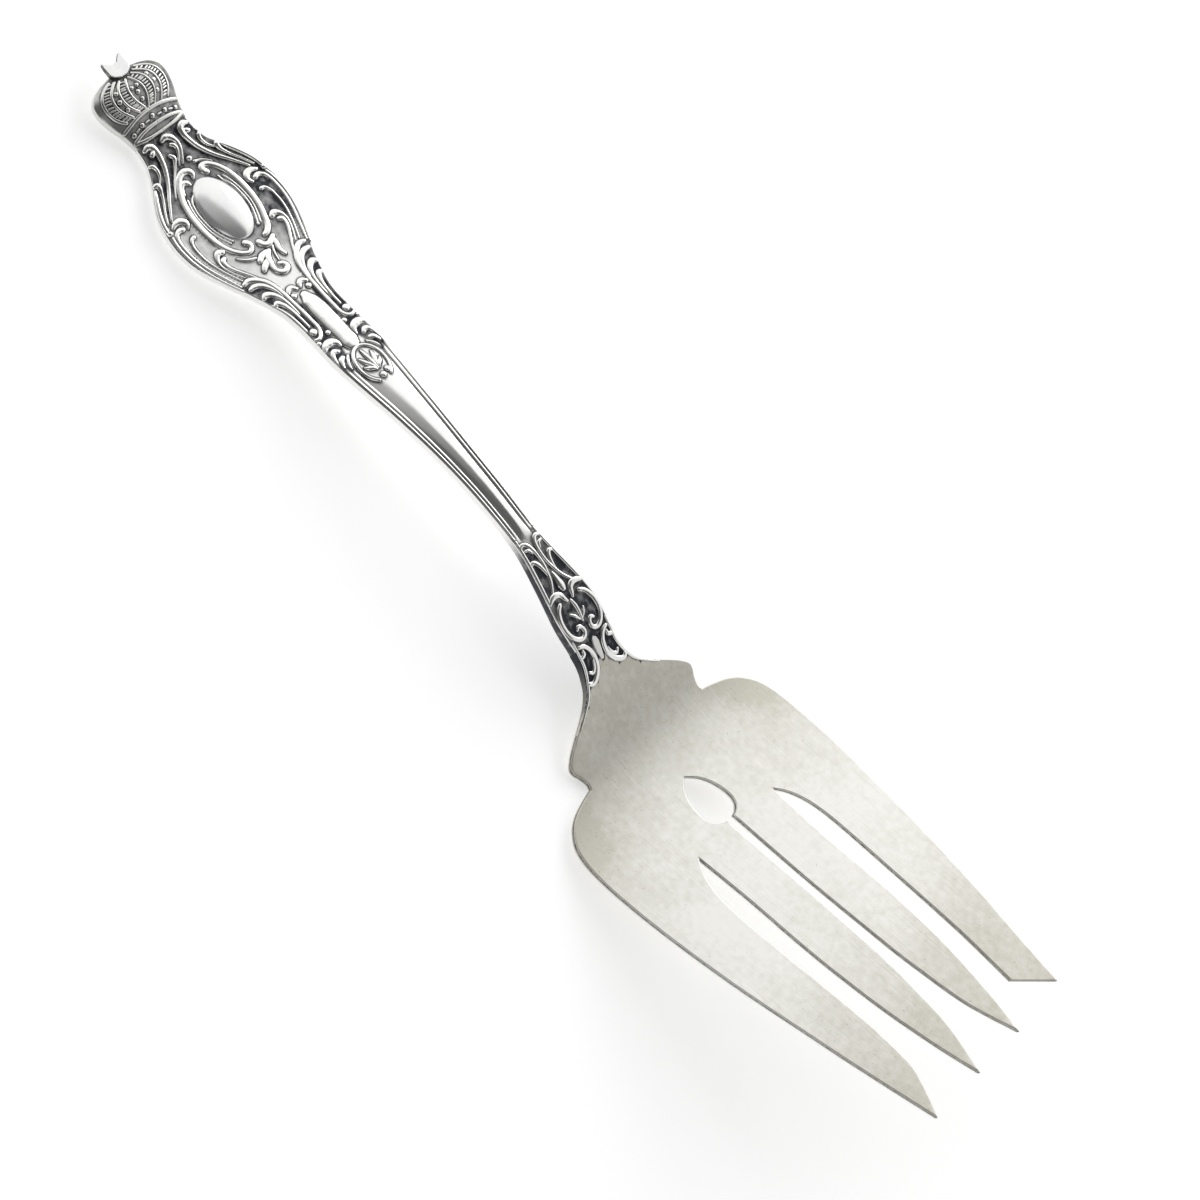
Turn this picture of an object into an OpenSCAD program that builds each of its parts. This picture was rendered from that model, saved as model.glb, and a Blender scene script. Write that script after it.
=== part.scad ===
// Silver fish fork with a crown finial, a scroll-work handle and a pierced four-tine blade.
// It lies face up: +X runs from the crown to the tines, +Z is up, and it rests on z = 0.
// Stations are millimetres along the fork, counted from the top of the crown.

/* [Blade] */
// Greatest width of the blade
blade_w = 44.8; // [42:0.2:48]
// Thickness of the blade at its heel
heel_t = 1.3; // [1.1:0.1:1.8]
// Thickness of the tines at their tips
tip_t = 1.1; // [0.8:0.1:1.5]
// Width of the drop-shaped hole at the root of the middle slot
drop_w = 6.2; // [5:0.2:7]
// Width of the middle slot between the two inner tines
slot_w = 1.5; // [1:0.1:2]

/* [Handle] */
// Greatest width of the handle
handle_w = 21.5; // [20:0.1:23]
// Thickness of the stem
stem_t = 2.4; // [2:0.1:3]
// Height of the scroll mounts over the ground
relief_h = 0.75; // [0.5:0.05:1]

/* [Crown] */
// Greatest width of the crown
crown_w = 14.1; // [13.5:0.1:15]
// Rise of the crown's dome over its plate
dome_h = 1.4; // [1:0.05:1.6]

/* [Hidden] */
// End faces of the pieces, as stations
cross_end = -1.1;
crown_start = 1.1;
handle_start = 12;
handle_end = 111;
tine_end = 195.2;
fork_mid = (cross_end + tine_end) / 2;
// Solder gap round a tang, a peg or a seated piece
solder = 0.05;
// How deep a mount is set below the ground before it is cut to fit
sunk = 0.4;
// Width of each of the two reeds along an edge of the stem
reed_w = 0.6;
// Widths that the outlines of the blade and of the drop-shaped hole are drawn at
drawn_blade_w = 44.8;
drawn_drop_w = 6.2;
// Tang of the blade: where it starts in the neck, its thickness and its width
tang_start = 103;
tang_t = 1.2;
tang_w = 4;
// Peg of the crown: its length, width and thickness, and its height over the surface
peg = [2.5, 3, 0.7];
peg_low = 0.5;
// Height and half width of a block that clears the whole handle
clear_h = 9;
clear_half = 10;

// Ground height along the fork, before any relief
ground_rows = [
    [0, 2.9], [5, 2.6], [9, 2.2], [13, 1.8], [20, 1.6], [28, 2.35], [36, 3.45], [44, 4.85],
    [52, 6.45], [60, 8], [68, 9.5], [76, 10.6], [84, 11.2], [92, 11.1], [98, 10.6],
    [104, 9.7], [110, 8], [116, 5.15], [122, 2.5], [127, 1.25], [132, 1.55], [138, 3.1],
    [148, 6.8], [160, 11.4], [175, 17.4], [188, 22.2], [196, 25]
];
// Thickness along the fork
thick_rows = [
    [0, 1.6], [12, 1.6], [20, 1.65], [28, 1.75], [44, stem_t - 0.2], [60, stem_t], [92, stem_t + 0.1],
    [104, stem_t + 0.3], [111, stem_t + 0.2], [116, (stem_t + heel_t) / 2], [121, heel_t + 0.1],
    [128, heel_t], [140, heel_t], [196, tip_t]
];
// Half width of the handle, as a share of its greatest half width
handle_rows = [
    [12, 0.475], [14, 0.487], [16, 0.545], [18, 0.655], [20, 0.77], [22, 0.872], [24, 0.947], [26, 0.985],
    [28, 1], [31, 0.97], [34, 0.875], [37, 0.735], [40, 0.605], [44, 0.465], [47, 0.42], [51, 0.415],
    [55, 0.425], [60, 0.39], [67, 0.325], [77, 0.255], [86, 0.225], [93, 0.22], [96, 0.247],
    [100, 0.307], [105, 0.377], [107.5, 0.386], [111, 0.358]
];
// Half width of the crown, as a share of its greatest half width
crown_rows = [
    [1.1, 0.3], [1.5, 0.57], [2.1, 0.79], [3.3, 0.96], [4.8, 1], [6.2, 0.97], [7.5, 0.915],
    [9, 0.825], [10.3, 0.77], [12, 0.715]
];
// Rise of the crown's dome, as a share of its greatest rise
dome_rows = [[1.1, 0.4], [3, 0.85], [5, 1], [8, 0.8], [9.5, 0.5], [12, 0.45]];
// Rise of the convex field and of the reeds along the stem
field_rows = [[12, 0], [52, 0], [62, 0.4], [90, 0.4], [94, 0], [112, 0]];
reed_rows = [[12, 0], [54, 0], [58, 0.3], [89, 0.3], [94, 0], [112, 0]];

// Stations where the two long pieces are drawn, closer together where they bend
handle_stations = concat(
    [for (s = [handle_start:1.5:57]) s], [for (s = [60:3:93]) s], [for (s = [94.5:1.5:handle_end]) s]
);
blade_stations = concat([for (s = [handle_end:1.25:136]) s], [for (s = [139:6:193]) s], [tine_end]);

// Cubic value at s of a table of [station, value] rows
function row(t, s, i = 0) = i >= len(t) - 2 || s < t[i + 1][0] ? i : row(t, s, i + 1);
function slope(t, i) =
    let (a = max(i - 1, 0), b = min(i + 1, len(t) - 1)) (t[b][1] - t[a][1]) / (t[b][0] - t[a][0]);
function cubic(a, b, ma, mb, u) =
    a + u * (ma + u * (3 * (b - a) - 2 * ma - mb + u * (2 * (a - b) + ma + mb)));
function at(t, s) =
    let (i = row(t, s), h = t[i + 1][0] - t[i][0])
    cubic(t[i][1], t[i + 1][1], slope(t, i) * h, slope(t, i + 1) * h, (s - t[i][0]) / h);

// Smooth line through points, in so many steps between each pair
function bend(a, b, c, d, u) =
    b + u * ((c - a) / 2 + u * (a - 2.5 * b + 2 * c - d / 2 + u * (1.5 * (b - c) + (d - a) / 2)));
function smooth(p, steps) = [
    for (i = [0:len(p) - 2]) for (k = [0:steps - 1])
        bend(p[max(i - 1, 0)], p[i], p[i + 1], p[min(i + 2, len(p) - 1)], k / steps),
    p[len(p) - 1]
];
function mirrored(p) = [for (i = [len(p) - 1:-1:0]) [p[i][0], -p[i][1]]];

// Surfaces of the fork: underside, ground, handle top and crown top
function ground(s) = at(ground_rows, s);
function under(s) = max(ground(s) - at(thick_rows, s), 0);
function half_handle(s) = handle_w / 2 * at(handle_rows, s);
function half_crown(s) = crown_w / 2 * at(crown_rows, s);
function field(s, y) =
    let (f = half_handle(s) - 2 * reed_w) max(at(field_rows, s), 0) * max(1 - pow(y / f, 2), 0);
function dome(s, y) = dome_h * at(dome_rows, s) * max(1 - pow(y / half_crown(s), 2), 0);
function top(s, y) = s < handle_start ? ground(s) + dome(s, y)
    : s < handle_end ? ground(s) + field(s, y) : ground(s);
function up(s) = let (a = atan(ground(s + 0.5) - ground(s - 0.5))) [-sin(a), 0, cos(a)];

// Puts a piece that is drawn by stations in the fork's own frame
module place() {
    translate([-fork_mid, 0, 0]) children();
}

// Both sides of the fork
module pair() {
    children();
    mirror([0, 1, 0]) children();
}

// Closed skin over rings that all have the same number of points
module loft(rings) {
    m = len(rings[0]);
    n = len(rings);
    sides = [
        for (i = [0:n - 2]) for (j = [0:m - 1])
            let (k = (j + 1) % m) each [
                [i * m + j, (i + 1) * m + j, (i + 1) * m + k],
                [i * m + j, (i + 1) * m + k, i * m + k]
            ]
    ];
    first = [for (j = [1:m - 2]) [0, j, j + 1]];
    last = [for (j = [1:m - 2]) [(n - 1) * m, (n - 1) * m + j + 1, (n - 1) * m + j]];
    polyhedron([for (r = rings) each r], concat(first, sides, last));
}

// Round-backed ridge along a line on the fork, with its width given at the head, body and tail
module ridge(line, half_w, head = 1, tail = 0.45, high = relief_h, steps = 2) {
    p = smooth(line, steps);
    n = len(p) - 1;
    cut = [[-1, -1], [-0.75, 0.55], [0, 1], [0.75, 0.55], [1, -1]];
    rings = [
        for (i = [0:n])
            let (
                way = p[min(i + 1, n)] - p[max(i - 1, 0)],
                side = [-way[1], way[0], 0] / norm(way),
                k = at([[0, head], [0.35, 1], [1, tail]], i / n),
                foot = [p[i][0], p[i][1], top(p[i][0], p[i][1])]
            )
            [for (c = cut)
                foot + side * c[0] * half_w * k
                    + up(p[i][0]) * (c[1] > 0 ? c[1] * high * (0.4 + 0.6 * k) : -sunk)]
    ];
    for (i = [0:n - 1])
        hull() polyhedron(concat(rings[i], rings[i + 1]), [[for (k = [0:2 * len(cut) - 1]) k]]);
}

// Round knob at the eye of a scroll, or a pearl
module bead(s, y, r) {
    foot = [s, y, top(s, y)];
    hull() {
        translate(foot + up(s) * relief_h * 0.5) sphere(r, $fn = 8);
        translate(foot - up(s) * sunk) sphere(r * 0.8, $fn = 6);
    }
}

// Handle without its slot and pockets
module handle_blank() {
    loft([
        for (s = handle_stations)
            let (
                w = half_handle(s),
                z = ground(s),
                b = under(s),
                f = w - 2 * reed_w,
                reed = max(at(reed_rows, s), 0),
                edge = [
                    [w, (z + b) / 2], [w - 0.12, z - 0.2], [w - reed_w / 2, z + reed], [w - reed_w, z],
                    [w - 1.5 * reed_w, z + reed], [w - 2 * reed_w, z]
                ],
                back = [[w - 0.3, b + 0.3 * (z - b)], [w - 1, b]]
            )
            [
                for (p = [back[1], back[0]]) [s, p[0], p[1]],
                for (p = edge) [s, p[0], p[1]],
                for (k = [0.66, 0.33, 0, -0.33, -0.66]) [s, f * k, z + field(s, f * k)],
                for (i = [5:-1:0]) [s, -edge[i][0], edge[i][1]],
                for (p = back) [s, -p[0], p[1]]
            ]
    ]);
}

// Side view of a slab between two surfaces, as thick as the fork is wide
module slab(outline, half_w) {
    translate([0, half_w, 0]) rotate([90, 0, 0]) linear_extrude(2 * half_w) polygon(outline);
}

// Tang of the blade inside the neck, grown by the solder gap to cut its slot
module tang(gap) {
    start = tang_start - gap;
    end = handle_end + 0.5;
    half_t = tang_t / 2 + gap;
    function core(s) = (ground(s) + under(s)) / 2;
    slab([
        [start, core(start) - half_t], [end, core(end) - half_t],
        [end, core(end) + half_t], [start, core(start) + half_t]
    ], tang_w / 2 + gap);
}

// Plan of the blade's outer edge on one side: root lobe, notch, shoulder and outer tine
module blade_plan() {
    k = blade_w / drawn_blade_w;
    notch = [128.5, 13];
    root = smooth([
        [handle_end, 3.85], [113, 3.85], [115, 4.3], [117, 5.2], [119, 7.2], [122, 11.5],
        [123.2, 12.95], [124.2, 13.75], [125.2, 13.7], [126.3, 13.15], [127.6, 12.8], notch
    ], 3);
    shoulder = smooth([
        notch, [129, 14.9], [130, 17.7], [131.5, 19.8], [134, 21.5], [138, 22.3], [144, 22.4],
        [152, 21.95], [165, 20.5], [180, 18.1], [tine_end, 15.05]
    ], 3);
    edge = [for (p = concat(root, shoulder)) [p[0], p[1] * (p[0] > notch[0] ? k : 1)]];
    polygon(concat(edge, mirrored(edge)));
}

// Middle slot, which opens from a drop-shaped hole
module middle_slot() {
    d = drop_w / drawn_drop_w;
    h = slot_w / 2;
    drop = smooth([
        [136.5, 0], [138, 1.65 * d], [140, 2.7 * d], [142.5, 3.1 * d], [144.2, 2.7 * d],
        [145.1, 1.7 * d], [145.4, h]
    ], 4);
    slit = smooth([
        [145.4, h], [160, h], [170, h + 0.2], [175, h + 0.35], [180, h + 0.75], [186, h + 1.45],
        [190, h + 2.4], [tine_end, 4.65], [199, 5.9]
    ], 2);
    half = concat(drop, slit);
    polygon(concat(half, mirrored(half)));
}

// Slot between an inner and an outer tine, with the far edge of the outer tine's end given
module side_slot(far) {
    near = smooth([
        [146.5, 8.75], [156, 8.4], [165, 8.4], [172, 8.2], [180, 7.55], [187, 6.5], [191, 5.75],
        [tine_end, 4.95], [199, 4.1]
    ], 2);
    outer = smooth([
        [146.5, 8.75], [148, 9.9], [150, 10.8], [153, 11.45], [158, 11.65], [170, 11.35], [180, 11.05]
    ], 2);
    polygon(concat(
        near, [for (i = [len(far) - 1:-1:0]) far[i]], [for (i = [len(outer) - 1:-1:0]) outer[i]]
    ));
}

module blade_blank() {
    outline = concat(
        [for (s = blade_stations) [s, ground(s)]],
        [for (i = [len(blade_stations) - 1:-1:0]) [blade_stations[i], under(blade_stations[i])]]
    );
    // One outer tine ends in a curve. The other is cut off on a slant.
    curved_end = smooth([
        [180, 11.05], [185, 11.15], [187, 11.45], [190, 12.4], [192.5, 13.6], [199, 17]
    ], 2);
    slant_end = [[189.5, 10.35], [194, 15.6], [195.3, 17.2], [199, 17.2]];
    intersection() {
        linear_extrude(30) difference() {
            blade_plan();
            middle_slot();
            side_slot(slant_end);
            mirror([0, 1, 0]) side_slot(curved_end);
        }
        slab(outline, 25);
    }
}

// Cross on the crown: a thick plate that lies on the tip of the dome, with a swallow-tailed outer arm
module cross_blank() {
    low = 3;
    high = 4.3;
    half = [
        [-0.1, 0], [-0.15, 0.6], [-1.05, 1.55], [cross_end, 1.8], [-0.2, 1.95],
        [1.1, 1.95], [1.75, 1.5], [2.2, 0.6]
    ];
    translate([0, 0, low]) linear_extrude(high - low) polygon(concat(half, mirrored(half)));
}

// Peg of the crown in the end of the handle, grown by the solder gap to cut its socket
module crown_peg(gap) {
    translate([handle_start - 0.5, -peg[1] / 2 - gap, peg_low - gap])
        cube([peg[0] + gap, peg[1] + 2 * gap, peg[2] + 2 * gap]);
}

// Oval seat of the boss, tilted with the handle's ground
boss_at = 26.4;
boss_half = [5.8, 3.6];
boss_seat = 0.35;
module on_boss_seat() {
    translate([boss_at, 0, ground(boss_at)])
        rotate([0, -atan((ground(31) - ground(22)) / 9), 0]) children();
}

module fork_blade() {
    color("Gainsboro") place() {
        blade_blank();
        tang(0);
    }
}

module handle_body() {
    color("Silver") place() difference() {
        handle_blank();
        tang(solder);
        crown_peg(solder);
        on_boss_seat() translate([0, 0, -boss_seat])
            scale([boss_half[0] + solder, boss_half[1] + solder, 1]) cylinder(h = 3, r = 1, $fn = 64);
    }
}

// Domed crown: four ribs a side with pearls between them, over a jewelled band of three ridges
module crown_finial() {
    ribs = [
        [[1.9, 3.3], [2.4, 4.7], [3.3, 5.5], [4.7, 5.85], [6.2, 5.6], [7.4, 4.9], [8, 4.2]],
        [[2.3, 2.5], [3.1, 3.8], [4.6, 4.4], [6, 4.2], [7.7, 2.9]],
        [[2.5, 1.7], [3.4, 2.5], [4.7, 2.9], [6, 2.6], [7.6, 1.5]],
        [[2.7, 0.5], [3.7, 1.1], [5, 1.35], [6.3, 0.95], [7.6, 0.4]]
    ];
    bands = [
        [[9.1, 5.2], [8.5, 3.5], [8.05, 1.5], [7.95, 0]],
        [[10.9, 4.7], [10.45, 3], [10.25, 1.5], [10.2, 0]],
        [[11.3, 4.6], [11.55, 3], [11.6, 1.5], [11.6, 0]]
    ];
    stations = [crown_start, 1.5, 2.1, 3.3, 4.8, 6.2, 7.5, 9, 10.3, handle_start];
    color("Silver") place() difference() {
        union() {
            loft([
                for (s = stations)
                    let (w = half_crown(s), z = ground(s), b = under(s), rim = z - 0.3 * (z - b))
                    [
                        [s, w - 0.9, b], [s, w, rim],
                        for (k = [0.97, 0.8, 0.6, 0.4, 0.2, 0, -0.2, -0.4, -0.6, -0.8, -0.97])
                            [s, w * k, z + dome(s, w * k)],
                        [s, -w, rim], [s, 0.9 - w, b]
                    ]
            ]);
            crown_peg(0);
            pair() {
                for (rib = ribs) ridge(rib, 0.28, tail = 0.8, high = 0.45);
                for (band = bands) ridge(band, 0.25, tail = 1, high = 0.4);
                for (pearl = [3.5, 4.9, 6.4]) bead(pearl, 3.6 - 0.12 * pow(pearl - 4.9, 2), 0.34);
                for (jewel = [[9.5, 2.4], [10, 4.2]]) bead(jewel[0], jewel[1], 0.42);
            }
            for (pearl = [4.2, 5.3, 6.4]) bead(pearl, 0, 0.32);
            bead(9.1, 0, 0.45);
        }
        cross_blank();
        // Trims the band's ridges flush with the handle, and leaves the peg
        pair() translate([handle_start, peg[1] / 2, -1]) cube([1, clear_half, clear_h]);
        translate([handle_start, -clear_half, peg_low + peg[2]]) cube([1, 2 * clear_half, clear_h]);
    }
}

module crown_cross() {
    color("White") place() cross_blank();
}

// Polished oval dome in the middle of the cartouche
module cartouche_boss() {
    rise = 1.05;
    steps = concat([[1, solder - boss_seat]], [for (a = [0:12:84]) [cos(a), rise * sin(a)]]);
    color("WhiteSmoke") place() on_boss_seat()
        loft([
            for (p = steps)
                [for (a = [0:10:350]) [p[0] * boss_half[0] * sin(a), p[0] * boss_half[1] * cos(a), p[1]]]
        ]);
}

// Two C-scrolls that make the raised frame, with a thin line inside each
module frame_ridges() {
    ridge([
        [20.3, 1.7], [19.4, 2.5], [20.5, 3.8], [22, 4.8], [24, 5.4], [26, 5.6], [28, 5.4], [30, 4.8],
        [31.5, 4], [32.6, 3], [33.6, 2.4], [34.5, 1.5], [34.2, 0.5]
    ], 0.5, tail = 0.7);
    ridge([
        [20, -0.4], [19.2, -0.3], [18.6, -1.2], [18.8, -2.2], [20.2, -3.8], [22, -4.9], [24, -5.4],
        [26, -5.6], [28, -5.6], [30, -5.2], [32, -4.4], [33.3, -3.5], [34.2, -2.5], [34.3, -1.6], [33.7, -1]
    ], 0.5, tail = 0.7);
    ridge([[22, 3], [24, 3.85], [26.5, 4.15], [29, 3.75], [31.3, 2.6]], 0.22, tail = 1, high = 0.4);
    ridge([[21.9, -2.8], [24, -3.8], [26.5, -4.15], [29, -3.8], [32, -2.5]], 0.22, tail = 1, high = 0.4);
    bead(20.4, 1.7, 0.5);
    bead(33.7, 0.7, 0.4);
    bead(32.9, -1.6, 0.4);
}

module cartouche_frame() {
    color("Silver") place() difference() {
        frame_ridges();
        handle_blank();
    }
}

// Hooked leaves between the crown and the widest part, with one off-centre scroll on the axis
module shoulder_ridges() {
    pair() {
        ridge([[12.8, 3.9], [13.1, 3], [14.3, 2.6], [15.5, 2.7], [17, 3.5], [20, 5.7], [23.5, 8.5]], 0.45);
        bead(12.9, 3.8, 0.55);
        ridge([[15.2, 4.7], [15.9, 4.4], [17, 5], [19, 6.4], [21.5, 7.9], [24, 9.2]], 0.42);
        ridge([[17.9, 6.5], [18.5, 6.2], [19.7, 6.9], [21.7, 8.2]], 0.38);
        ridge([[18.5, 6.9], [20, 7.8], [22, 8.95], [24.9, 9.9]], 0.34, tail = 1);
        bead(24.9, 9.8, 0.55);
    }
    ridge([[13, -0.6], [12.8, 0.3], [13.5, 1], [14.6, 1.1], [16, 0.6], [17.3, -0.6]], 0.42);
    ridge([[14.3, 0], [15, 0.6], [16.2, 0], [17.4, -0.8]], 0.25);
    ridge([
        [15.7, -1.4], [16.4, -1], [17.3, -1.7], [18.3, -2.8], [19.5, -3.8], [21, -4.8], [22.5, -5.5]
    ], 0.38);
    bead(17.4, 1, 0.4);
    bead(18.3, 1.7, 0.3);
}

module shoulder_scrolls() {
    color("Silver") place() difference() {
        shoulder_ridges();
        handle_blank();
        frame_ridges();
        translate([handle_start - 5, -clear_half, 0]) cube([5, 2 * clear_half, clear_h]);
    }
}

// Double border along the widest part, with a curled head beside the cartouche
module border_ridges() {
    pair() {
        ridge([[25.4, 6.7], [24.5, 6.5], [24, 7.2], [24.1, 8.3], [24.8, 9.1]], 0.34);
        bead(25, 7.4, 0.42);
        ridge([
            [25.6, 8], [25.9, 9], [27, 9.5], [29, 9.7], [31, 9.4], [33.5, 8.6], [36, 7.5], [37.3, 6.8]
        ], 0.38);
        ridge([[25.4, 10.05], [28, 10.35], [31, 10], [34, 9], [37, 7.5], [38.5, 6.7]], 0.34, tail = 1);
        ridge([[27.4, 7.3], [27.9, 8], [29.5, 8.4], [31.5, 8.1], [34, 7.3], [36.8, 6.1]], 0.36);
    }
}

module border_scrolls() {
    color("Silver") place() difference() {
        border_ridges();
        handle_blank();
        shoulder_ridges();
    }
}

// Four-lobed leaf on each side where the handle narrows, running on to a curled end
module leaf_ridges() {
    pair() {
        bead(31.7, 5.9, 0.45);
        ridge([[32.6, 6.3], [34, 6], [35.3, 5.3], [36.6, 4.3], [38, 3.4], [39.5, 2.7]], 0.42);
        ridge([
            [37.4, 6.1], [37.5, 5], [38.6, 3.7], [40.1, 2.8], [42.5, 2.6], [45, 2.4], [48, 2.2],
            [49.6, 2.3], [50.7, 3], [50.6, 3.9]
        ], 0.38, tail = 0.8);
        ridge([[38.6, 5.9], [38.7, 5], [39.8, 3.7], [41.5, 3.1]], 0.38);
        ridge([[40.3, 5.5], [40.2, 4.8], [41, 4], [42.5, 3.3], [44, 3.1]], 0.36);
        ridge([[42.3, 4.9], [42.5, 4.4], [43.5, 3.9], [45, 3.6], [48.5, 3.6]], 0.34);
        bead(49.5, 3.5, 0.55);
    }
}

module leaf_scrolls() {
    color("Silver") place() difference() {
        leaf_ridges();
        handle_blank();
        frame_ridges();
        border_ridges();
    }
}

// Off-centre curl and leaf lobes under the cartouche
module centre_ridges() {
    ridge([[33.9, 3.4], [35, 2.8], [36.5, 2.5], [37.3, 2.2]], 0.36, tail = 0.8);
    ridge([[35.2, 2], [36, 1.3], [37, 1], [38, 1.2], [38.5, 0.8]], 0.34, tail = 0.8);
    ridge([[38.5, 1.8], [39.5, 1.5], [39.9, 0.6], [39.5, -0.4], [38.5, -0.9], [37.5, -0.7]], 0.38);
    bead(35.5, 0, 0.5);
    bead(36.2, -0.8, 0.45);
    bead(36.4, -1.6, 0.4);
    bead(37.6, -1.5, 0.4);
}

module centre_scroll() {
    color("Silver") place() difference() {
        centre_ridges();
        handle_blank();
        frame_ridges();
        leaf_ridges();
    }
}

// Smooth tongue down the top of the stem, with curled heads and crescent leaves beside it
module panel_ridges() {
    ridge([[43.5, 0], [46, 0], [50, 0], [54.4, 0]], 1.5, head = 0.75, tail = 0.9, high = 0.5);
    pair() {
        bead(43.3, 1.5, 0.4);
        ridge([[43.1, 2], [42.5, 1.75], [42.2, 1.2], [42.6, 0.5]], 0.25, tail = 0.8);
        bead(50.8, 1.75, 0.4);
        bead(51.3, 4.1, 0.3);
        ridge([[52.8, 4], [52, 3.6], [51.8, 2.8], [52.2, 1.9], [52.8, 1.5]], 0.45, tail = 0.8);
        ridge([[55, 4], [54, 3.7], [53.5, 3.3], [53.7, 2.7]], 0.36);
    }
}

module stem_panel() {
    color("Silver") place() difference() {
        panel_ridges();
        handle_blank();
        leaf_ridges();
    }
}

// Oval medallion on the stem: a ring, a palmette of five leaves and two pearls
module stem_medallion() {
    ring = [for (a = [20:20:340]) [58.4 + 3.3 * cos(a), 2.35 * sin(a)]];
    tips = [[56, 0.1], [57, 1.45], [57, -1.45], [58.4, 1.75], [58.4, -1.75]];
    color("Silver") place() difference() {
        union() {
            ridge(ring, 0.28, tail = 1, steps = 1);
            for (tip = tips)
                ridge([[59.8, tip[1] / 6], (tip + [59.8, 0]) / 2, tip], 0.32, head = 0.5, tail = 0.5);
            bead(60.5, 0.9, 0.42);
            bead(60.7, -0.35, 0.42);
        }
        handle_blank();
        panel_ridges();
    }
}

// Pair of C-scrolls that meet round a dark oval, with a sprig of three leaves inside
module neck_oval_ridges() {
    pair() {
        ridge([[103.8, 0.7], [102.7, 0.9], [102.3, 2], [102.7, 3]], 0.45, tail = 0.7);
        ridge([
            [103.4, 2], [104.5, 3.1], [106.5, 3.65], [108.5, 3.35], [109.9, 2.4], [110.1, 1.4],
            [109.4, 0.8], [108.5, 1], [108.3, 1.5]
        ], 0.4, tail = 0.7);
    }
    ridge([[107.8, 0], [106.2, 0.1], [104.4, 0]], 0.34, head = 0.5);
    ridge([[107.5, 0.3], [106.9, 0.8], [106.4, 1.3]], 0.3, head = 0.5);
    ridge([[107.6, -0.3], [106.8, -0.8], [106, -1.3]], 0.3, head = 0.5);
}

module neck_medallion() {
    color("Silver") place() difference() {
        neck_oval_ridges();
        handle_blank();
    }
}

// Leaf scrolls that spread from the stem to the neck, with a drop between them
module neck_scrolls() {
    color("Silver") place() difference() {
        union() {
            pair() {
                ridge([[93.6, 1.8], [93.8, 1.1], [95, 0.45], [97, 0.45], [99, 0.95], [101.8, 2.3]], 0.32);
                ridge([[96.5, 2.2], [96.6, 1.7], [97.6, 1.25], [99, 1.5], [101, 2.2]], 0.3);
            }
            ridge([[98.2, 0], [100, 0], [101.2, 0], [102, 0]], 0.68, head = 0.3, tail = 0.9);
        }
        handle_blank();
        neck_oval_ridges();
    }
}

// Curled scrolls that lap from the neck over the root of the blade and hide the joint
module lap_scrolls() {
    seat = [for (s = concat(handle_stations, blade_stations)) if (s > 107 && s < 120) [s, ground(s)]];
    color("Silver") place() difference() {
        pair() {
            ridge([
                [111.2, 3.2], [110.8, 2.3], [111.8, 1.5], [113.5, 1.2], [115.2, 1.5], [116.4, 2.5],
                [116.8, 3.6], [116.3, 4.2]
            ], 0.4, tail = 0.7);
            bead(112.3, 3.1, 0.48);
            ridge([[114.2, 1.9], [115, 2.6], [114.9, 3.3]], 0.28);
        }
        slab(concat(seat, [[119, 0], [108, 0]]), 8);
        neck_oval_ridges();
    }
}

fork_blade();
handle_body();
crown_finial();
crown_cross();
cartouche_boss();
cartouche_frame();
shoulder_scrolls();
border_scrolls();
leaf_scrolls();
centre_scroll();
stem_panel();
stem_medallion();
neck_scrolls();
neck_medallion();
lap_scrolls();
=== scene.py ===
import math

import bmesh
import bpy
from mathutils import Matrix, Quaternion, Vector
from mathutils.kdtree import KDTree


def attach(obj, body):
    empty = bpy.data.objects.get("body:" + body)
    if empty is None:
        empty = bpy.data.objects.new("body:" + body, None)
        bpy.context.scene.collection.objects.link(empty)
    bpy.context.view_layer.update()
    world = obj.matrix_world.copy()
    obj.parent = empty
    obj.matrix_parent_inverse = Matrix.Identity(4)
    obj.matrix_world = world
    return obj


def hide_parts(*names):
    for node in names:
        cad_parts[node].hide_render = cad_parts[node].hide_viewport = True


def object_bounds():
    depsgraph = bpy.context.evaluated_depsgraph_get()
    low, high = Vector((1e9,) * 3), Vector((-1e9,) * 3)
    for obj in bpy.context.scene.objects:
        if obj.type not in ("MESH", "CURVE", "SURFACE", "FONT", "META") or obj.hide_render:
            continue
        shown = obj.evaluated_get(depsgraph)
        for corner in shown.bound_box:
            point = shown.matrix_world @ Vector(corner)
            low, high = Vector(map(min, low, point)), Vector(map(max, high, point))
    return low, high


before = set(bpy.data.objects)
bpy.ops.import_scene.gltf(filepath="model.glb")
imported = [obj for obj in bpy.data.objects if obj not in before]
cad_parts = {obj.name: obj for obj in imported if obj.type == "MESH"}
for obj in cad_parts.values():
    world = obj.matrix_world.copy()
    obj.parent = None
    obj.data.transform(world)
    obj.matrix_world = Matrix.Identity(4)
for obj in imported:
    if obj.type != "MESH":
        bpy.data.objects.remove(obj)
cad_low, cad_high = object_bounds()

# Handle: one bowed bar of solid silver, struck between dies. The dies give it its waisted outline,
# two fine reeds along each edge of the stem and the level ground that the scroll mounts stand on.
# Places along the fork are stations, in millimetres from the top of the crown.
MM = 0.001
handle_start = 12
handle_end = 111
tine_end = 195.2
fork_mid = tine_end - cad_high.x / MM
handle_half_w = 10.75
reed_h = 0.17
edge_round = 0.3
reed_cuts = 12
field_cuts = 54
back_rows = [(12, 1), (100, 1), (106, 0.7), (111, 0.25)]
ground_rows = [
    (0, 2.9), (5, 2.6), (9, 2.2), (13, 1.8), (20, 1.6), (28, 2.35), (36, 3.45), (44, 4.85),
    (52, 6.45), (60, 8), (68, 9.5), (76, 10.6), (84, 11.2), (92, 11.1), (98, 10.6),
    (104, 9.7), (110, 8), (116, 5.15), (122, 2.5), (127, 1.25), (132, 1.55), (138, 3.1),
    (148, 6.8), (160, 11.4), (175, 17.4), (188, 22.2), (196, 25),
]
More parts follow.
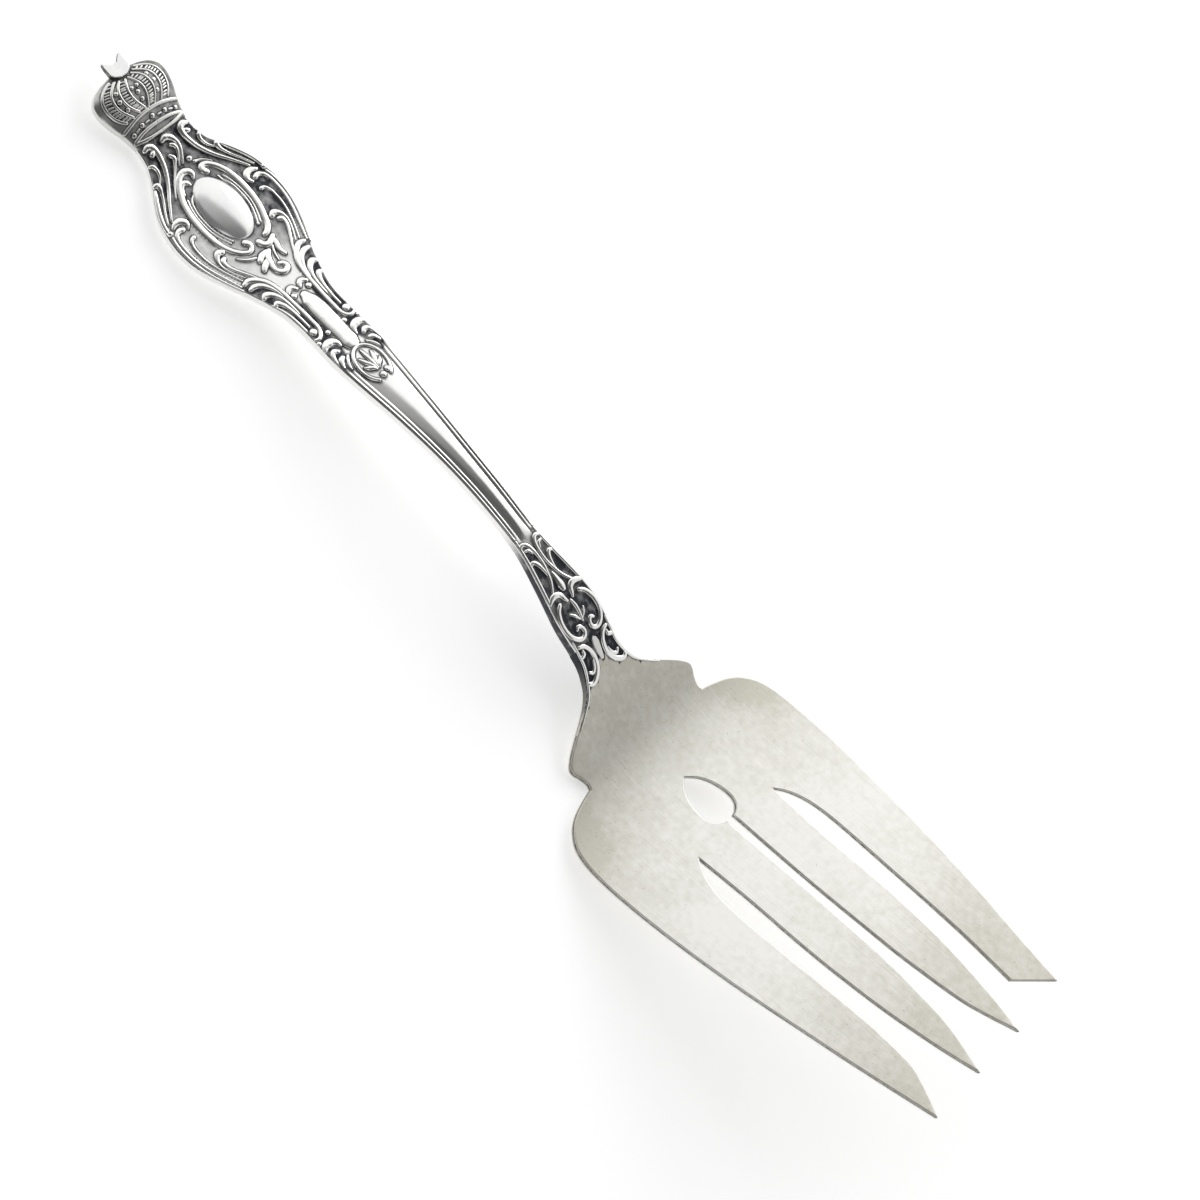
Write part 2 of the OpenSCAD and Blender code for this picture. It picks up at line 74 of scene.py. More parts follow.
thick_rows = [
    (0, 1.6), (12, 1.6), (20, 1.65), (28, 1.75), (44, 2.2), (60, 2.4), (92, 2.5), (104, 2.7),
    (111, 2.6), (116, 1.85), (121, 1.4), (128, 1.3), (140, 1.3), (196, 1.1),
]
handle_rows = [
    (12, 0.475), (14, 0.487), (16, 0.545), (18, 0.655), (20, 0.77), (22, 0.872), (24, 0.947),
    (26, 0.985), (28, 1), (31, 0.97), (34, 0.875), (37, 0.735), (40, 0.605), (44, 0.465),
    (47, 0.42), (51, 0.415), (55, 0.425), (60, 0.39), (67, 0.325), (77, 0.255), (86, 0.225),
    (93, 0.22), (96, 0.247), (100, 0.307), (105, 0.377), (107.5, 0.386), (111, 0.358),
]
field_rows = [(12, 0), (54, 0), (60, 0.36), (90, 0.36), (94, 0), (112, 0)]
reed_rows = [(12, 0), (52, 0), (56.5, reed_h), (89, reed_h), (94, 0), (112, 0)]
reed_w_rows = [(12, 0.75), (52, 0.75), (60, 0.7), (75, 0.62), (86, 0.6), (112, 0.6)]


def at(rows, s):
    """Smooth value at station s of rows of (station, value)."""
    last = len(rows) - 2
    i = next((k for k in range(last) if s < rows[k + 1][0]), last)
    slopes = []
    for k in (i, i + 1):
        before = rows[max(k - 1, 0)]
        after = rows[min(k + 1, last + 1)]
        slopes.append((after[1] - before[1]) / (after[0] - before[0]))
    a, b = rows[i][1], rows[i + 1][1]
    run = rows[i + 1][0] - rows[i][0]
    ma, mb = slopes[0] * run, slopes[1] * run
    u = (s - rows[i][0]) / run
    return a + u * (ma + u * (3 * (b - a) - 2 * ma - mb + u * (2 * (a - b) + ma + mb)))


def ground(s):
    return at(ground_rows, s)


def under(s):
    return max(ground(s) - at(thick_rows, s), 0)


def half_handle(s):
    return handle_half_w * at(handle_rows, s)


def field(s, y):
    """Rise of the stem's convex top between the reeds."""
    half = half_handle(s) - 2 * at(reed_w_rows, s)
    return max(at(field_rows, s), 0) * max(1 - (y / half) ** 2, 0)


def spread(start, end, step):
    """Evenly spaced stations from start to end, about a step apart."""
    count = round((end - start) / step)
    return [start + (end - start) * k / count for k in range(count + 1)]


def handle_ring(s):
    """Section of the handle at station s: from the middle of its back, round one edge, and back again."""
    w, z, b = half_handle(s), ground(s), under(s)
    middle = (z + b) / 2
    reed = max(at(reed_rows, s), 0)
    reed_w = at(reed_w_rows, s)
    inner = w - 2 * reed_w
    back_round = at(back_rows, s)
    half = [((w - back_round) * k, b) for k in (0, 0.25, 0.5, 0.75, 1)]
    for turn in (-72, -54, -36, -18, 0):
        a = math.radians(turn)
        half.append((w - back_round + back_round * math.cos(a), middle + (middle - b) * math.sin(a)))
    for turn in (0, 22, 45, 68):
        a = math.radians(turn)
        half.append((w - edge_round * (1 - math.cos(a)), z - edge_round * (1 - math.sin(a))))
    for d in spread(edge_round, 2 * reed_w, (2 * reed_w - edge_round) / reed_cuts):
        half.append((w - d, z + reed * abs(math.sin(math.pi * d / reed_w)) ** 0.5))
    for y in spread(inner, 0, -inner / field_cuts)[1:]:
        half.append((y, z + field(s, y)))
    return half + [(-y, z) for y, z in half[-2:0:-1]]


def rolled(name, stations, ring):
    """Closed skin through a ring of points at each station: a grid rolled up, with both ends filled."""
    rings = [ring(s) for s in stations]
    around = len(rings[0])
    along = len(stations) - 1
    bm = bmesh.new()
    bmesh.ops.create_grid(bm, x_segments=along, y_segments=around, size=0.5)
    for v in bm.verts:
        i = round((v.co.x + 0.5) * along)
        j = round((v.co.y + 0.5) * around) % around
        y, z = rings[i][j]
        v.co = Vector((stations[i] - fork_mid, y, z)) * MM
    bmesh.ops.remove_doubles(bm, verts=bm.verts, dist=1e-7)
    bmesh.ops.holes_fill(bm, edges=[e for e in bm.edges if e.is_boundary])
    bmesh.ops.recalc_face_normals(bm, faces=bm.faces)
    return made_piece(name, bm)


def made_piece(name, bm):
    """Object of the finished bmesh, shaded smooth, in the fork's own frame."""
    mesh = bpy.data.meshes.new(name)
    bm.to_mesh(mesh)
    bm.free()
    mesh.shade_smooth()
    piece = bpy.data.objects.new(name, mesh)
    bpy.context.scene.collection.objects.link(piece)
    return piece


class Value:
    """A shader value. Arithmetic on it adds Math nodes, and node() adds any other node."""

    def __init__(self, tree, socket=None):
        self.tree = tree
        self.socket = socket

    def node(self, kind, settings, sockets, output=0):
        made = self.tree.nodes.new("ShaderNode" + kind)
        for key, setting in settings.items():
            setattr(made, key, setting)
        for key, value in sockets.items():
            self.feed(made.inputs[key], value)
        return Value(self.tree, made.outputs[output])

    def feed(self, socket, value):
        if isinstance(value, Value):
            self.tree.links.new(value.socket, socket)
        else:
            socket.default_value = value

    def maths(self, operation, a, b):
        return self.node("Math", {"operation": operation}, {0: a, 1: b})

    def __add__(self, other):
        return self.maths("ADD", self, other)

    __radd__ = __add__

    def __mul__(self, other):
        return self.maths("MULTIPLY", self, other)

    __rmul__ = __mul__

    def __sub__(self, other):
        return self.maths("SUBTRACT", self, other)

    def __rsub__(self, other):
        return self.maths("SUBTRACT", other, self)

    def step(self, low, high):
        """0 below low, 1 above high and a smooth rise between them."""
        settings = {"interpolation_type": "SMOOTHSTEP"}
        return self.node("MapRange", settings, {"Value": self, "From Min": low, "From Max": high})

    def held(self):
        """This value kept from 0 to 1."""
        return self.node("Clamp", {}, {"Value": self})

    def between(self, first, second):
        """Colour that goes from the first to the second as this value goes from 0 to 1."""
        return self.node("Mix", {"data_type": "RGBA"}, {0: self, 6: first, 7: second}, 2)

    def object_place(self):
        return self.node("TexCoord", {}, {}, "Object")

    def noise(self, place, scale, detail=2):
        return self.node("TexNoise", {}, {"Vector": place, "Scale": scale, "Detail": detail}, "Fac")

    def grain(self, place, turn, stretch, scale):
        """Noise drawn out into hairlines that run at an angle, in degrees, to the fork's length."""
        turned = self.node("Mapping", {}, {
            "Vector": place, "Rotation": (0, 0, math.radians(turn)), "Scale": (1, stretch, 1)})
        return self.noise(turned, scale, 3)

    def bump(self, height, strength, depth):
        return self.node("Bump", {}, {"Height": height, "Strength": strength, "Distance": depth}, "Normal")


def silver(name, clean, dark, polish):
    """Silver worn bright on its high places, and blue-black where its patina attribute is high. That
    attribute holds real patina, and painted shade on some side walls and on one side of the ground.
    """
    material = bpy.data.materials.new(name)
    material.use_nodes = True
    tree = material.node_tree
    shader = tree.nodes["Principled BSDF"]
    start = Value(tree)
    place = start.object_place()
    cloud = start.noise(place, 700, 4)
    wear = start.noise(place, 2600, 3)
    hairs = start.grain(place, 12, 40, 160)
    kept = start.node("Attribute", {"attribute_name": "patina_and_shade"}, {}, "Fac")
    patina_and_shade = (kept * (cloud * 1.1 + wear * 0.3 + 0.28)).held()
    start.feed(shader.inputs["Base Color"], patina_and_shade.between(clean, dark))
    start.feed(shader.inputs["Metallic"], 1 - patina_and_shade * 0.35)
    start.feed(shader.inputs["Roughness"], patina_and_shade * 0.26 + wear * 0.08 + polish)
    start.feed(shader.inputs["Normal"], start.bump(hairs + wear * 0.6 + cloud, 0.25, 0.00003))
    return material


bright = (0.93, 0.925, 0.905, 1)
oxide = (0.03, 0.032, 0.04, 1)
handle_polish = 0.13
stem_start = 62
stem_end = 92
fine_step = 0.16
stem_step = 0.6
handle_stations = spread(handle_start, stem_start, fine_step)
handle_stations += spread(stem_start, stem_end, stem_step)[1:]
handle_stations += spread(stem_end, handle_end, fine_step)[1:]
handle = rolled("struck_handle", handle_stations, handle_ring)
handle.data.materials.append(silver("handle_finish", bright, oxide, handle_polish))
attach(handle, "root")
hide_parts("handle_body")

# Blade: a flat plate of rolled silver, cut to its lobed outline, pierced with a drop-shaped hole and
# three slots, and bent up toward the tines. Its tang is soldered into the end of the handle.
# The faces are rubbed to a soft satin. The upper half of each cut edge is coloured dark as painted shade,
# for the dark surroundings that it reflects.
blade_flat_t = 1.2
edge_bevel = 0.2
edge_shade_from = 0.5
bend_step = 0.7
root_end = 121
root_half_w = 7
root_step = 0.35
notch = (128.5, 13)
root_edge = [
    (handle_end, 3.85), (113, 3.85), (115, 4.3), (117, 5.2), (119, 7.2), (122, 11.5), (123.2, 12.95),
    (124.2, 13.75), (125.2, 13.7), (126.3, 13.15), (127.6, 12.8), notch,
]
shoulder_edge = [
    notch, (129, 14.9), (130, 17.7), (131.5, 19.8), (134, 21.5), (138, 22.3), (144, 22.4),
    (152, 21.95), (165, 20.5), (180, 18.1),
]
curved_tip = [
    (180, 18.1), (188, 16.55), (tine_end, 15.05), (192.5, 13.6), (190, 12.4), (187, 11.45), (180, 11.05),
]
slant_tip = [(180, 18.1), (187, 16.8), (194.2, 15.7), (189.5, 10.4), (184, 10.8), (180, 11.05)]
outer_slot_edge = [
    (180, 11.05), (170, 11.35), (158, 11.65), (153, 11.45), (150, 10.8), (148, 9.9), (146.5, 8.75),
]
inner_slot_edge = [
    (146.5, 8.75), (156, 8.4), (165, 8.4), (172, 8.2), (180, 7.55), (187, 6.5), (191, 5.75),
    (tine_end, 4.8),
]
middle_slot_edge = [
    (tine_end, 4.8), (190, 3.15), (186, 2.2), (180, 1.5), (175, 1.1), (170, 0.95), (160, 0.75),
    (145.4, 0.75),
]
drop_point = (136.5, 0)
drop_edge = [
    (145.4, 0.75), (145.1, 1.7), (144.2, 2.7), (142.5, 3.1), (140, 2.7), (138, 1.65), drop_point,
]


def smooth(points, steps):
    """Points on a smooth line through the given ones, so many to each pair."""
    line = []
    knots = [Vector(p) for p in points]
    last = len(knots) - 1
    for i in range(last):
        a, b, c, d = knots[max(i - 1, 0)], knots[i], knots[i + 1], knots[min(i + 2, last)]
        for k in range(steps):
            u = k / steps
            bend = a - 2.5 * b + 2 * c - d / 2 + u * (1.5 * (b - c) + (d - a) / 2)
            line.append(b + u * ((c - a) / 2 + u * bend))
    return line + [knots[last]]


def half_outline(runs):
    """One side of the blade's outline: smooth runs that meet at corners."""
    line = []
    for run, steps in runs:
        line += smooth(run, steps)[:-1]
    return line


def cut_across(bm, stations):
    """Divides the plate at each station so that it can bend there."""
    for s in stations:
        geometry = bm.verts[:] + bm.edges[:] + bm.faces[:]
        bmesh.ops.bisect_plane(bm, geom=geometry, dist=1e-5, plane_co=(s, 0, 0), plane_no=(1, 0, 0))


def cut_along(bm, end, offsets):
    """Divides the root of the plate lengthwise, as far as the end station."""
    for y in offsets:
        faces = [f for f in bm.faces if all(v.co.x < end for v in f.verts)]
        geometry = {g for f in faces for g in (f, *f.edges, *f.verts)}
        bmesh.ops.bisect_plane(bm, geom=list(geometry), dist=1e-5, plane_co=(0, y, 0), plane_no=(0, 1, 0))


def bend_plate(bm):
    """Lays the flat plate between the fork's underside and its ground."""
    for v in bm.verts:
        s, y, z = v.co
        low = under(s)
        v.co = Vector((s - fork_mid, y, low + (ground(s) - low) * z / blade_flat_t)) * MM


shared_runs = [(root_edge, 5), (shoulder_edge, 6)]
slot_runs = [(outer_slot_edge, 5), (inner_slot_edge, 6), (middle_slot_edge, 6), (drop_edge, 6)]
slant_runs = [(slant_tip[:3], 3), (slant_tip[2:4], 1), (slant_tip[3:], 3)]
curved_runs = [(curved_tip[:3], 3), (curved_tip[2:], 4)]
right_side = half_outline(shared_runs + slant_runs + slot_runs)
left_side = half_outline(shared_runs + curved_runs + slot_runs)
bm = bmesh.new()
outline = [(p.x, p.y) for p in right_side] + [drop_point] + [(p.x, -p.y) for p in reversed(left_side)]
plate = bm.faces.new([bm.verts.new((s, y, 0)) for s, y in outline])
raised = bmesh.ops.extrude_face_region(bm, geom=[plate])["geom"]
top_face = next(g for g in raised if isinstance(g, bmesh.types.BMFace))
bmesh.ops.translate(bm, verts=top_face.verts, vec=(0, 0, blade_flat_t))
bmesh.ops.recalc_face_normals(bm, faces=bm.faces)
walls = [f for f in bm.faces if len(f.verts) == 4 and f.calc_center_median().x > root_end]
for wall in walls:
    wall.material_index = 1
rim = [e for e in bm.edges if any(len(f.verts) > 4 for f in e.link_faces)]
rounded = bmesh.ops.bevel(
    bm, geom=rim, offset=edge_bevel, segments=3, profile=0.5, affect="EDGES", material=-1,
    clamp_overlap=False)
# Painted shade: the upper half of each cut wall keeps the dark edge material, and the lower half and the
# rounded rims take the satin again.
geometry = bm.verts[:] + bm.edges[:] + bm.faces[:]
bmesh.ops.bisect_plane(
    bm, geom=geometry, dist=1e-5, plane_co=(0, 0, edge_shade_from), plane_no=(0, 0, 1))
bright_faces = rounded["faces"] + [f for f in bm.faces if f.calc_center_median().z < edge_shade_from]
for face in bright_faces:
    face.material_index = 0
cut_across(bm, spread(handle_end, tine_end, bend_step)[1:-1])
cut_along(bm, root_end, spread(-root_half_w, root_half_w, root_step))
bend_plate(bm)
blade = made_piece("pierced_blade", bm)


def satin_blade():
    """Rubbed satin silver: pale warm grey, with painted shade that darkens the root, the shoulders and the
    tips, and with cloudy tarnish, dark pits and fine crossing hairlines."""
    pale = (0.81, 0.803, 0.765, 1)
    dull_and_shaded = (0.6, 0.583, 0.51, 1)
    pit = (0.13, 0.125, 0.115, 1)
    material = bpy.data.materials.new("blade_finish")
    material.use_nodes = True
    shader = material.node_tree.nodes["Principled BSDF"]
    start = Value(material.node_tree)
    place = start.object_place()
    x = start.node("SeparateXYZ", {}, {"Vector": place}, "X")
    y = start.node("SeparateXYZ", {}, {"Vector": place}, "Y")
    # Painted shade: the root, the tips and the shoulders are darkened in the colour, where the blade would
    # reflect dimmer surroundings.
    root = 1 - (x - y * y * 14).step(0.022, 0.058)
    tip_shade = x.step(0.056, 0.098)
    shoulder = (y * y).step(0.00015, 0.0004) * (1 - x.step(0.033, 0.045))
    cloud = start.noise(place, 130, 5)
    mottle = start.noise(place, 900, 5)
    pits = start.noise(place, 3800, 2)
    hairs = start.grain(place, 24, 50, 90) + start.grain(place, -38, 60, 80)
    kept = start.node("Attribute", {"attribute_name": "patina_and_shade"}, {}, "Fac")
    # The painted shade is added here to the random cloudy tarnish.
    painted_shade = root * 0.85 + tip_shade * 0.9 + shoulder * 0.8
    tarnish_and_shade = (painted_shade + (cloud - 0.5) * 0.7 + (mottle - 0.47) * 0.9).held()
    specks = (pits + tarnish_and_shade * 0.05).step(0.69, 0.81)
    scratch = (hairs * 0.5).step(0.58, 0.7)
    tone = tarnish_and_shade.between(pale, dull_and_shaded)
    tone = (scratch * 0.5).between(tone, dull_and_shaded)
    tone = (specks * 0.6).between(tone, pit)
    tone = kept.step(0.35, 0.95).between(tone, oxide)
    start.feed(shader.inputs["Base Color"], tone)
    start.feed(shader.inputs["Metallic"], 1)
    start.feed(shader.inputs["Roughness"], tarnish_and_shade * 0.08 + mottle * 0.1 + 0.32)
    start.feed(shader.inputs["Normal"], start.bump(hairs + mottle - specks * 1.5, 0.3, 0.00003))
    return material


def shaded_cut_edge(name):
    """Sawn edge with file marks across it, coloured dark as painted shade for the dark surroundings it
    reflects.
    """
    filed_shade = (0.34, 0.335, 0.32, 1)
    dark = (0.1, 0.1, 0.1, 1)
    material = bpy.data.materials.new(name)
    material.use_nodes = True
    shader = material.node_tree.nodes["Principled BSDF"]
    start = Value(material.node_tree)
    place = start.object_place()
    marks = start.noise(place, 2200, 3)
    start.feed(shader.inputs["Base Color"], marks.step(0.35, 0.7).between(dark, filed_shade))
    start.feed(shader.inputs["Metallic"], 1)
    start.feed(shader.inputs["Roughness"], marks * 0.2 + 0.3)
    start.feed(shader.inputs["Normal"], start.bump(marks, 0.3, 0.00004))
    return material


blade.data.materials.append(satin_blade())
blade.data.materials.append(shaded_cut_edge("blade_edge_shade"))
flat_shading = blade.modifiers.new("flat_shading", "WEIGHTED_NORMAL")
flat_shading.weight = 80
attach(blade, "root")
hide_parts("fork_blade")

# Crown: a finial of struck silver, soldered to the end of the handle by a peg. Four ribs a side arch over
# a low dome. Between them lie ladders of small rungs and rows of pearls, over a band with set jewels.
crown_start = 1.1
crown_brow = 2.1
crown_half_w = 7.05
crown_round = 0.9
crown_rim_drop = 0.3
dome_h = 1.6
foot_h = 0.1
die_depth = 0.36
sunk_share = 0.3
crown_rows = [
    (1.1, 0.3), (1.5, 0.57), (2.1, 0.79), (3.3, 0.96), (4.8, 1), (6.2, 0.97), (7.5, 0.915),
    (9, 0.825), (10.3, 0.77), (12, 0.715),
]
dome_rows = [(1.1, 0.35), (3, 0.85), (5, 1), (7, 0.85), (8.5, 0.6), (10, 0.45), (12, 0.35)]
rib_lines = [
    [(1.75, 2.6), (2.5, 4.4), (3.4, 5.35), (4.5, 5.78), (5.9, 5.72), (7.1, 5.2), (8.1, 4.25)],
    [(2.1, 1.9), (2.85, 3.05), (3.75, 3.95), (4.95, 4.3), (6.2, 4.1), (7.2, 3.5), (8, 2.85)],
    [(2.4, 1.25), (3.45, 2.4), (4.65, 2.85), (5.85, 2.8), (7, 2.25), (7.8, 1.55)],
    [(2.7, 0.3), (3.7, 0.9), (4.75, 1.25), (6.05, 1.15), (7.1, 0.7), (7.8, 0.3)],
]
band_lines = [
    [(9.1, 5.35), (8.7, 3.9), (8.3, 1.9), (8.2, 0)],
    [(11.1, 4.75), (10.65, 3.1), (10.45, 1.5), (10.4, 0)],
    [(11.3, 4.8), (11.6, 3.4), (11.8, 1.8), (11.85, 0)],
]
band_bars = [[(9.55, 0.95), (9.55, 1.25), (9.6, 1.55)], [(9.8, 3.05), (9.9, 3.35), (10, 3.65)]]
rib_half_w = 0.23
band_half_w = 0.29
bar_half_w = 0.16
rung_half_w = 0.15


def half_crown(s):
    return crown_half_w * at(crown_rows, s)


def dome(s, y):
    return dome_h * at(dome_rows, s) * max(1 - abs(y / half_crown(s)) ** 3, 0)


def top(s, y):
    """Height of the fork's upper face, which the mounts are laid on."""
    if s < handle_start:
        return ground(s) + dome(s, y)
    if s < handle_end:
        return ground(s) + field(s, y)
    return ground(s)


def crown_ring(s):
    """Section of the crown at station s, from the middle of its back."""
    w, z, b = half_crown(s), ground(s), under(s)
    rim = z - crown_rim_drop * (z - b)
    half = [((w - crown_round) * k, b) for k in (0, 0.25, 0.5, 0.75, 1)]
    for turn in (-60, -30, 0):
        a = math.radians(turn)
        half.append((w - crown_round + crown_round * math.cos(a), rim + (rim - b) * math.sin(a)))
    for k in spread(0.98, 0, -0.03):
        half.append((w * k, z + dome(s, w * k)))
    return half + [(-y, z) for y, z in half[-2:0:-1]]


def stroke(points, both=True):
    """One raised ridge of a mount: station, offset and half width at each point, and whether each side
    of the fork has one."""
    return {"points": points, "both": both}


def even(line, half_w):
    """A ridge of one width along a line, on both sides."""
    return stroke([(s, y, half_w) for s, y in line])


def rounded_end(before, last):
    """Two more knots that close a ridge in a half round."""
    onward = (last[0] - before[0]).normalized() * last[1]
    return [(last[0] + onward * 0.65, last[1] * 0.72), (last[0] + onward * 0.95, last[1] * 0.08)]


def add_ridge(curve, ridge, side):
    """Adds a ridge to a curve as one spline with round ends."""
    line = [(Vector((s, y * side)), half_w) for s, y, half_w in ridge["points"]]
    path = rounded_end(line[1], line[0])[::-1] + line + rounded_end(line[-2], line[-1])
    spline = curve.splines.new("BEZIER")
    spline.bezier_points.add(len(path) - 1)
    for knot, (place, half_w) in zip(spline.bezier_points, path):
        knot.co = place.to_3d()
        knot.radius = half_w
        knot.handle_left_type = "AUTO"
        knot.handle_right_type = "AUTO"


def add_ridges(bm, strokes):
    """Adds the ridges as round bars on a flat: station, offset and height in millimetres."""
    curve = bpy.data.curves.new("ridges", "CURVE")
    curve.dimensions = "3D"
    curve.bevel_depth = 1
    curve.bevel_resolution = 5
    curve.resolution_u = 5
    curve.use_fill_caps = True
    for ridge in strokes:
        for side in (1, -1) if ridge["both"] else (1,):
            add_ridge(curve, ridge, side)
    holder = bpy.data.objects.new("ridges", curve)
    mesh = bpy.data.meshes.new_from_object(holder)
    bm.from_mesh(mesh)
    bpy.data.objects.remove(holder)
    bpy.data.meshes.remove(mesh)


def add_pearls(bm, pearls):
    """Adds round knobs: station, offset, radius and whether there is one on each side."""
    for s, y, r, both in pearls:
        for side in (1, -1) if both else (1,):
            place = Matrix.Translation((s, y * side, r * 0.1))
            bmesh.ops.create_icosphere(bm, subdivisions=3, radius=r, matrix=place)


feet = []


def lay(bm, rise, soft):
    """Bends a flat mount on to the fork. The dies are shallow, so a wide ridge has a flat top, unless it
    is made low and soft. Its foot keeps its patina, and what is higher is worn bright."""
    patina_and_shade = bm.verts.layers.float.new("patina_and_shade")
    for v in bm.verts:
        s, y, z = v.co
        lean = math.atan(ground(s + 0.5) - ground(s - 0.5))
        v[patina_and_shade] = 1 - min(max(z / foot_h, 0), 1)
        z = rise * die_depth * (1 - math.exp(-z * soft / die_depth)) if z > 0 else z * sunk_share
        v.co = Vector((s - fork_mid - z * math.sin(lean), y, top(s, y) + z * math.cos(lean))) * MM
        if abs(z) < foot_h:
            feet.append(v.co.copy())
    bmesh.ops.recalc_face_normals(bm, faces=bm.faces)


def mount(name, strokes, pearls=(), rise=1, soft=1):
    """A mount of ridges and pearls, laid on the fork, with its height times the rise."""
    bm = bmesh.new()
    add_ridges(bm, strokes)
    bmesh.ops.remove_doubles(bm, verts=bm.verts, dist=1e-5)
    add_pearls(bm, pearls)
    lay(bm, rise, soft)
    return made_piece(name, bm)


def rungs(outer, inner, count):
    """Short bars across the gap between two ribs."""
    far, near = smooth(outer, 8), smooth(inner, 8)
    bars = []
    for k in range(1, count):
        a = far[round((len(far) - 1) * k / count)]
        b = near[round((len(near) - 1) * k / count)]
        bars.append(even([a.lerp(b, 0.28), a.lerp(b, 0.5), a.lerp(b, 0.72)], rung_half_w))
    return bars


crown_stations = spread(crown_start, crown_brow, 0.1) + spread(crown_brow, handle_start, 0.2)[1:]
crown = rolled("crown_plate", crown_stations, crown_ring)
crown_strokes = [even(line, rib_half_w) for line in rib_lines]
crown_strokes += [even(line, band_half_w) for line in band_lines]
crown_strokes += rungs(rib_lines[0], rib_lines[1], 15) + rungs(rib_lines[2], rib_lines[3], 14)
crown_strokes += [even(line, bar_half_w) for line in band_bars]
crown_pearls = [(3.75, 3.15, 0.36, True), (5.1, 3.5, 0.4, True), (6.65, 3.05, 0.36, True)]
crown_pearls += [(4.35, 0.5, 0.34, True), (5.3, 0, 0.4, False), (6.5, 0, 0.36, False)]
crown_pearls += [(9.3, 0, 0.4, False), (9.6, 2.35, 0.4, True), (10.15, 4.3, 0.38, True)]
crown_work = mount("crown_ribs", crown_strokes, crown_pearls)
crown_bright = (0.72, 0.715, 0.69, 1)
crown_polish = 0.2
crown_finish = silver("crown_finish", crown_bright, oxide, crown_polish)
for piece in (crown, crown_work):
    piece.data.materials.append(crown_finish)
    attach(piece, "root")
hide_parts("crown_finial")

# Cross: a small block of silver, filed to a swallow-tailed end and polished bright on top. It is soldered
# on the tip of the crown's dome, and its sides are coloured dark as painted shade.
cross_low = 3.2
cross_high = 4.3
cross_fall = 0.12
cross_bevel = 0.16
cross_half = [
    (-0.1, 0), (-0.15, 0.6), (-1.05, 1.55), (-1.1, 1.8), (-0.2, 1.95), (1.1, 1.95), (1.75, 1.5),
    (2.2, 0.6),
]
bm = bmesh.new()
cross_outline = cross_half[1:] + [(s, -y) for s, y in reversed(cross_half)]
foot = bm.faces.new([bm.verts.new((s - fork_mid, y, cross_low)) for s, y in cross_outline])
raised = bmesh.ops.extrude_face_region(bm, geom=[foot])["geom"]
risen = [g for g in raised if isinstance(g, bmesh.types.BMVert)]
for v in risen:
    v.co.z = cross_high - cross_fall * (cross_half[-1][0] - v.co.x - fork_mid)
bmesh.ops.recalc_face_normals(bm, faces=bm.faces)
# Painted shade: the cross's upright walls take the dark edge material.
for wall in bm.faces:
    wall.material_index = int(len(wall.verts) == 4)
bmesh.ops.bevel(
    bm, geom=bm.edges[:], offset=cross_bevel, segments=3, profile=0.5, affect="EDGES", material=-1)
bmesh.ops.scale(bm, verts=bm.verts, vec=(MM, MM, MM))
cross = made_piece("crown_top_cross", bm)
cross_shading = cross.modifiers.new("flat_shading", "WEIGHTED_NORMAL")
cross_shading.weight = 80


def polished(name, colour, haze):
    """Mirror-polished silver with a few soft hairlines and a share of haze."""
    material = bpy.data.materials.new(name)
    material.use_nodes = True
    shader = material.node_tree.nodes["Principled BSDF"]
    start = Value(material.node_tree)
    place = start.object_place()
    hairs = start.grain(place, 30, 40, 120)
    cloud = start.noise(place, 500, 4)
    greyer = (colour[0] * 0.93, colour[1] * 0.93, colour[2] * 0.94, 1)
    start.feed(shader.inputs["Base Color"], cloud.step(0.3, 0.75).between(colour, greyer))
    start.feed(shader.inputs["Metallic"], 1 - haze)
    start.feed(shader.inputs["Roughness"], hairs * 0.08 + cloud * 0.04 + 0.13)
    start.feed(shader.inputs["Normal"], start.bump(hairs + cloud * 0.5, 0.2, 0.00001))
    return material


cross_bright = (0.86, 0.86, 0.85, 1)
cross_haze = 0.1
cross.data.materials.append(polished("cross_finish", cross_bright, cross_haze))
cross.data.materials.append(shaded_cut_edge("cross_edge_shade"))
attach(cross, "root")
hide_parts("crown_cross")

# Boss: an oval dome of silver, raised from sheet and polished. It is soldered into a shallow seat in the
# middle of the cartouche, and lies at the slope that the handle has there.
boss_at = 26.4
boss_half = (5.8, 3.6)
boss_rise = 1.05
boss_foot = -0.3
boss_lean = math.atan((ground(31) - ground(22)) / 9)
bm = bmesh.new()
bmesh.ops.create_uvsphere(bm, u_segments=144, v_segments=48, radius=1)
geometry = bm.verts[:] + bm.edges[:] + bm.faces[:]
bmesh.ops.bisect_plane(
    bm, geom=geometry, dist=1e-6, plane_co=(0, 0, 0), plane_no=(0, 0, 1), clear_inner=True)
waist = [e for e in bm.edges if e.is_boundary]
skirt = bmesh.ops.extrude_edge_only(bm, edges=waist)["geom"]
skirt_verts = [g for g in skirt if isinstance(g, bmesh.types.BMVert)]
bmesh.ops.translate(bm, verts=skirt_verts, vec=(0, 0, boss_foot / boss_rise))
bmesh.ops.holes_fill(bm, edges=[e for e in bm.edges if e.is_boundary])
bmesh.ops.recalc_face_normals(bm, faces=bm.faces)
bmesh.ops.scale(bm, verts=bm.verts, vec=Vector((*boss_half, boss_rise)) * MM)
bmesh.ops.rotate(bm, verts=bm.verts, cent=(0, 0, 0), matrix=Matrix.Rotation(-boss_lean, 3, "Y"))
bmesh.ops.translate(bm, verts=bm.verts, vec=Vector((boss_at - fork_mid, 0, ground(boss_at))) * MM)
feet += [e.verts[0].co.copy() for e in waist]
boss = made_piece("oval_boss", bm)
boss_bright = (0.95, 0.95, 0.94, 1)
boss_haze = 0.26
boss.data.materials.append(polished("boss_finish", boss_bright, boss_haze))
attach(boss, "root")
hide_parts("cartouche_boss")

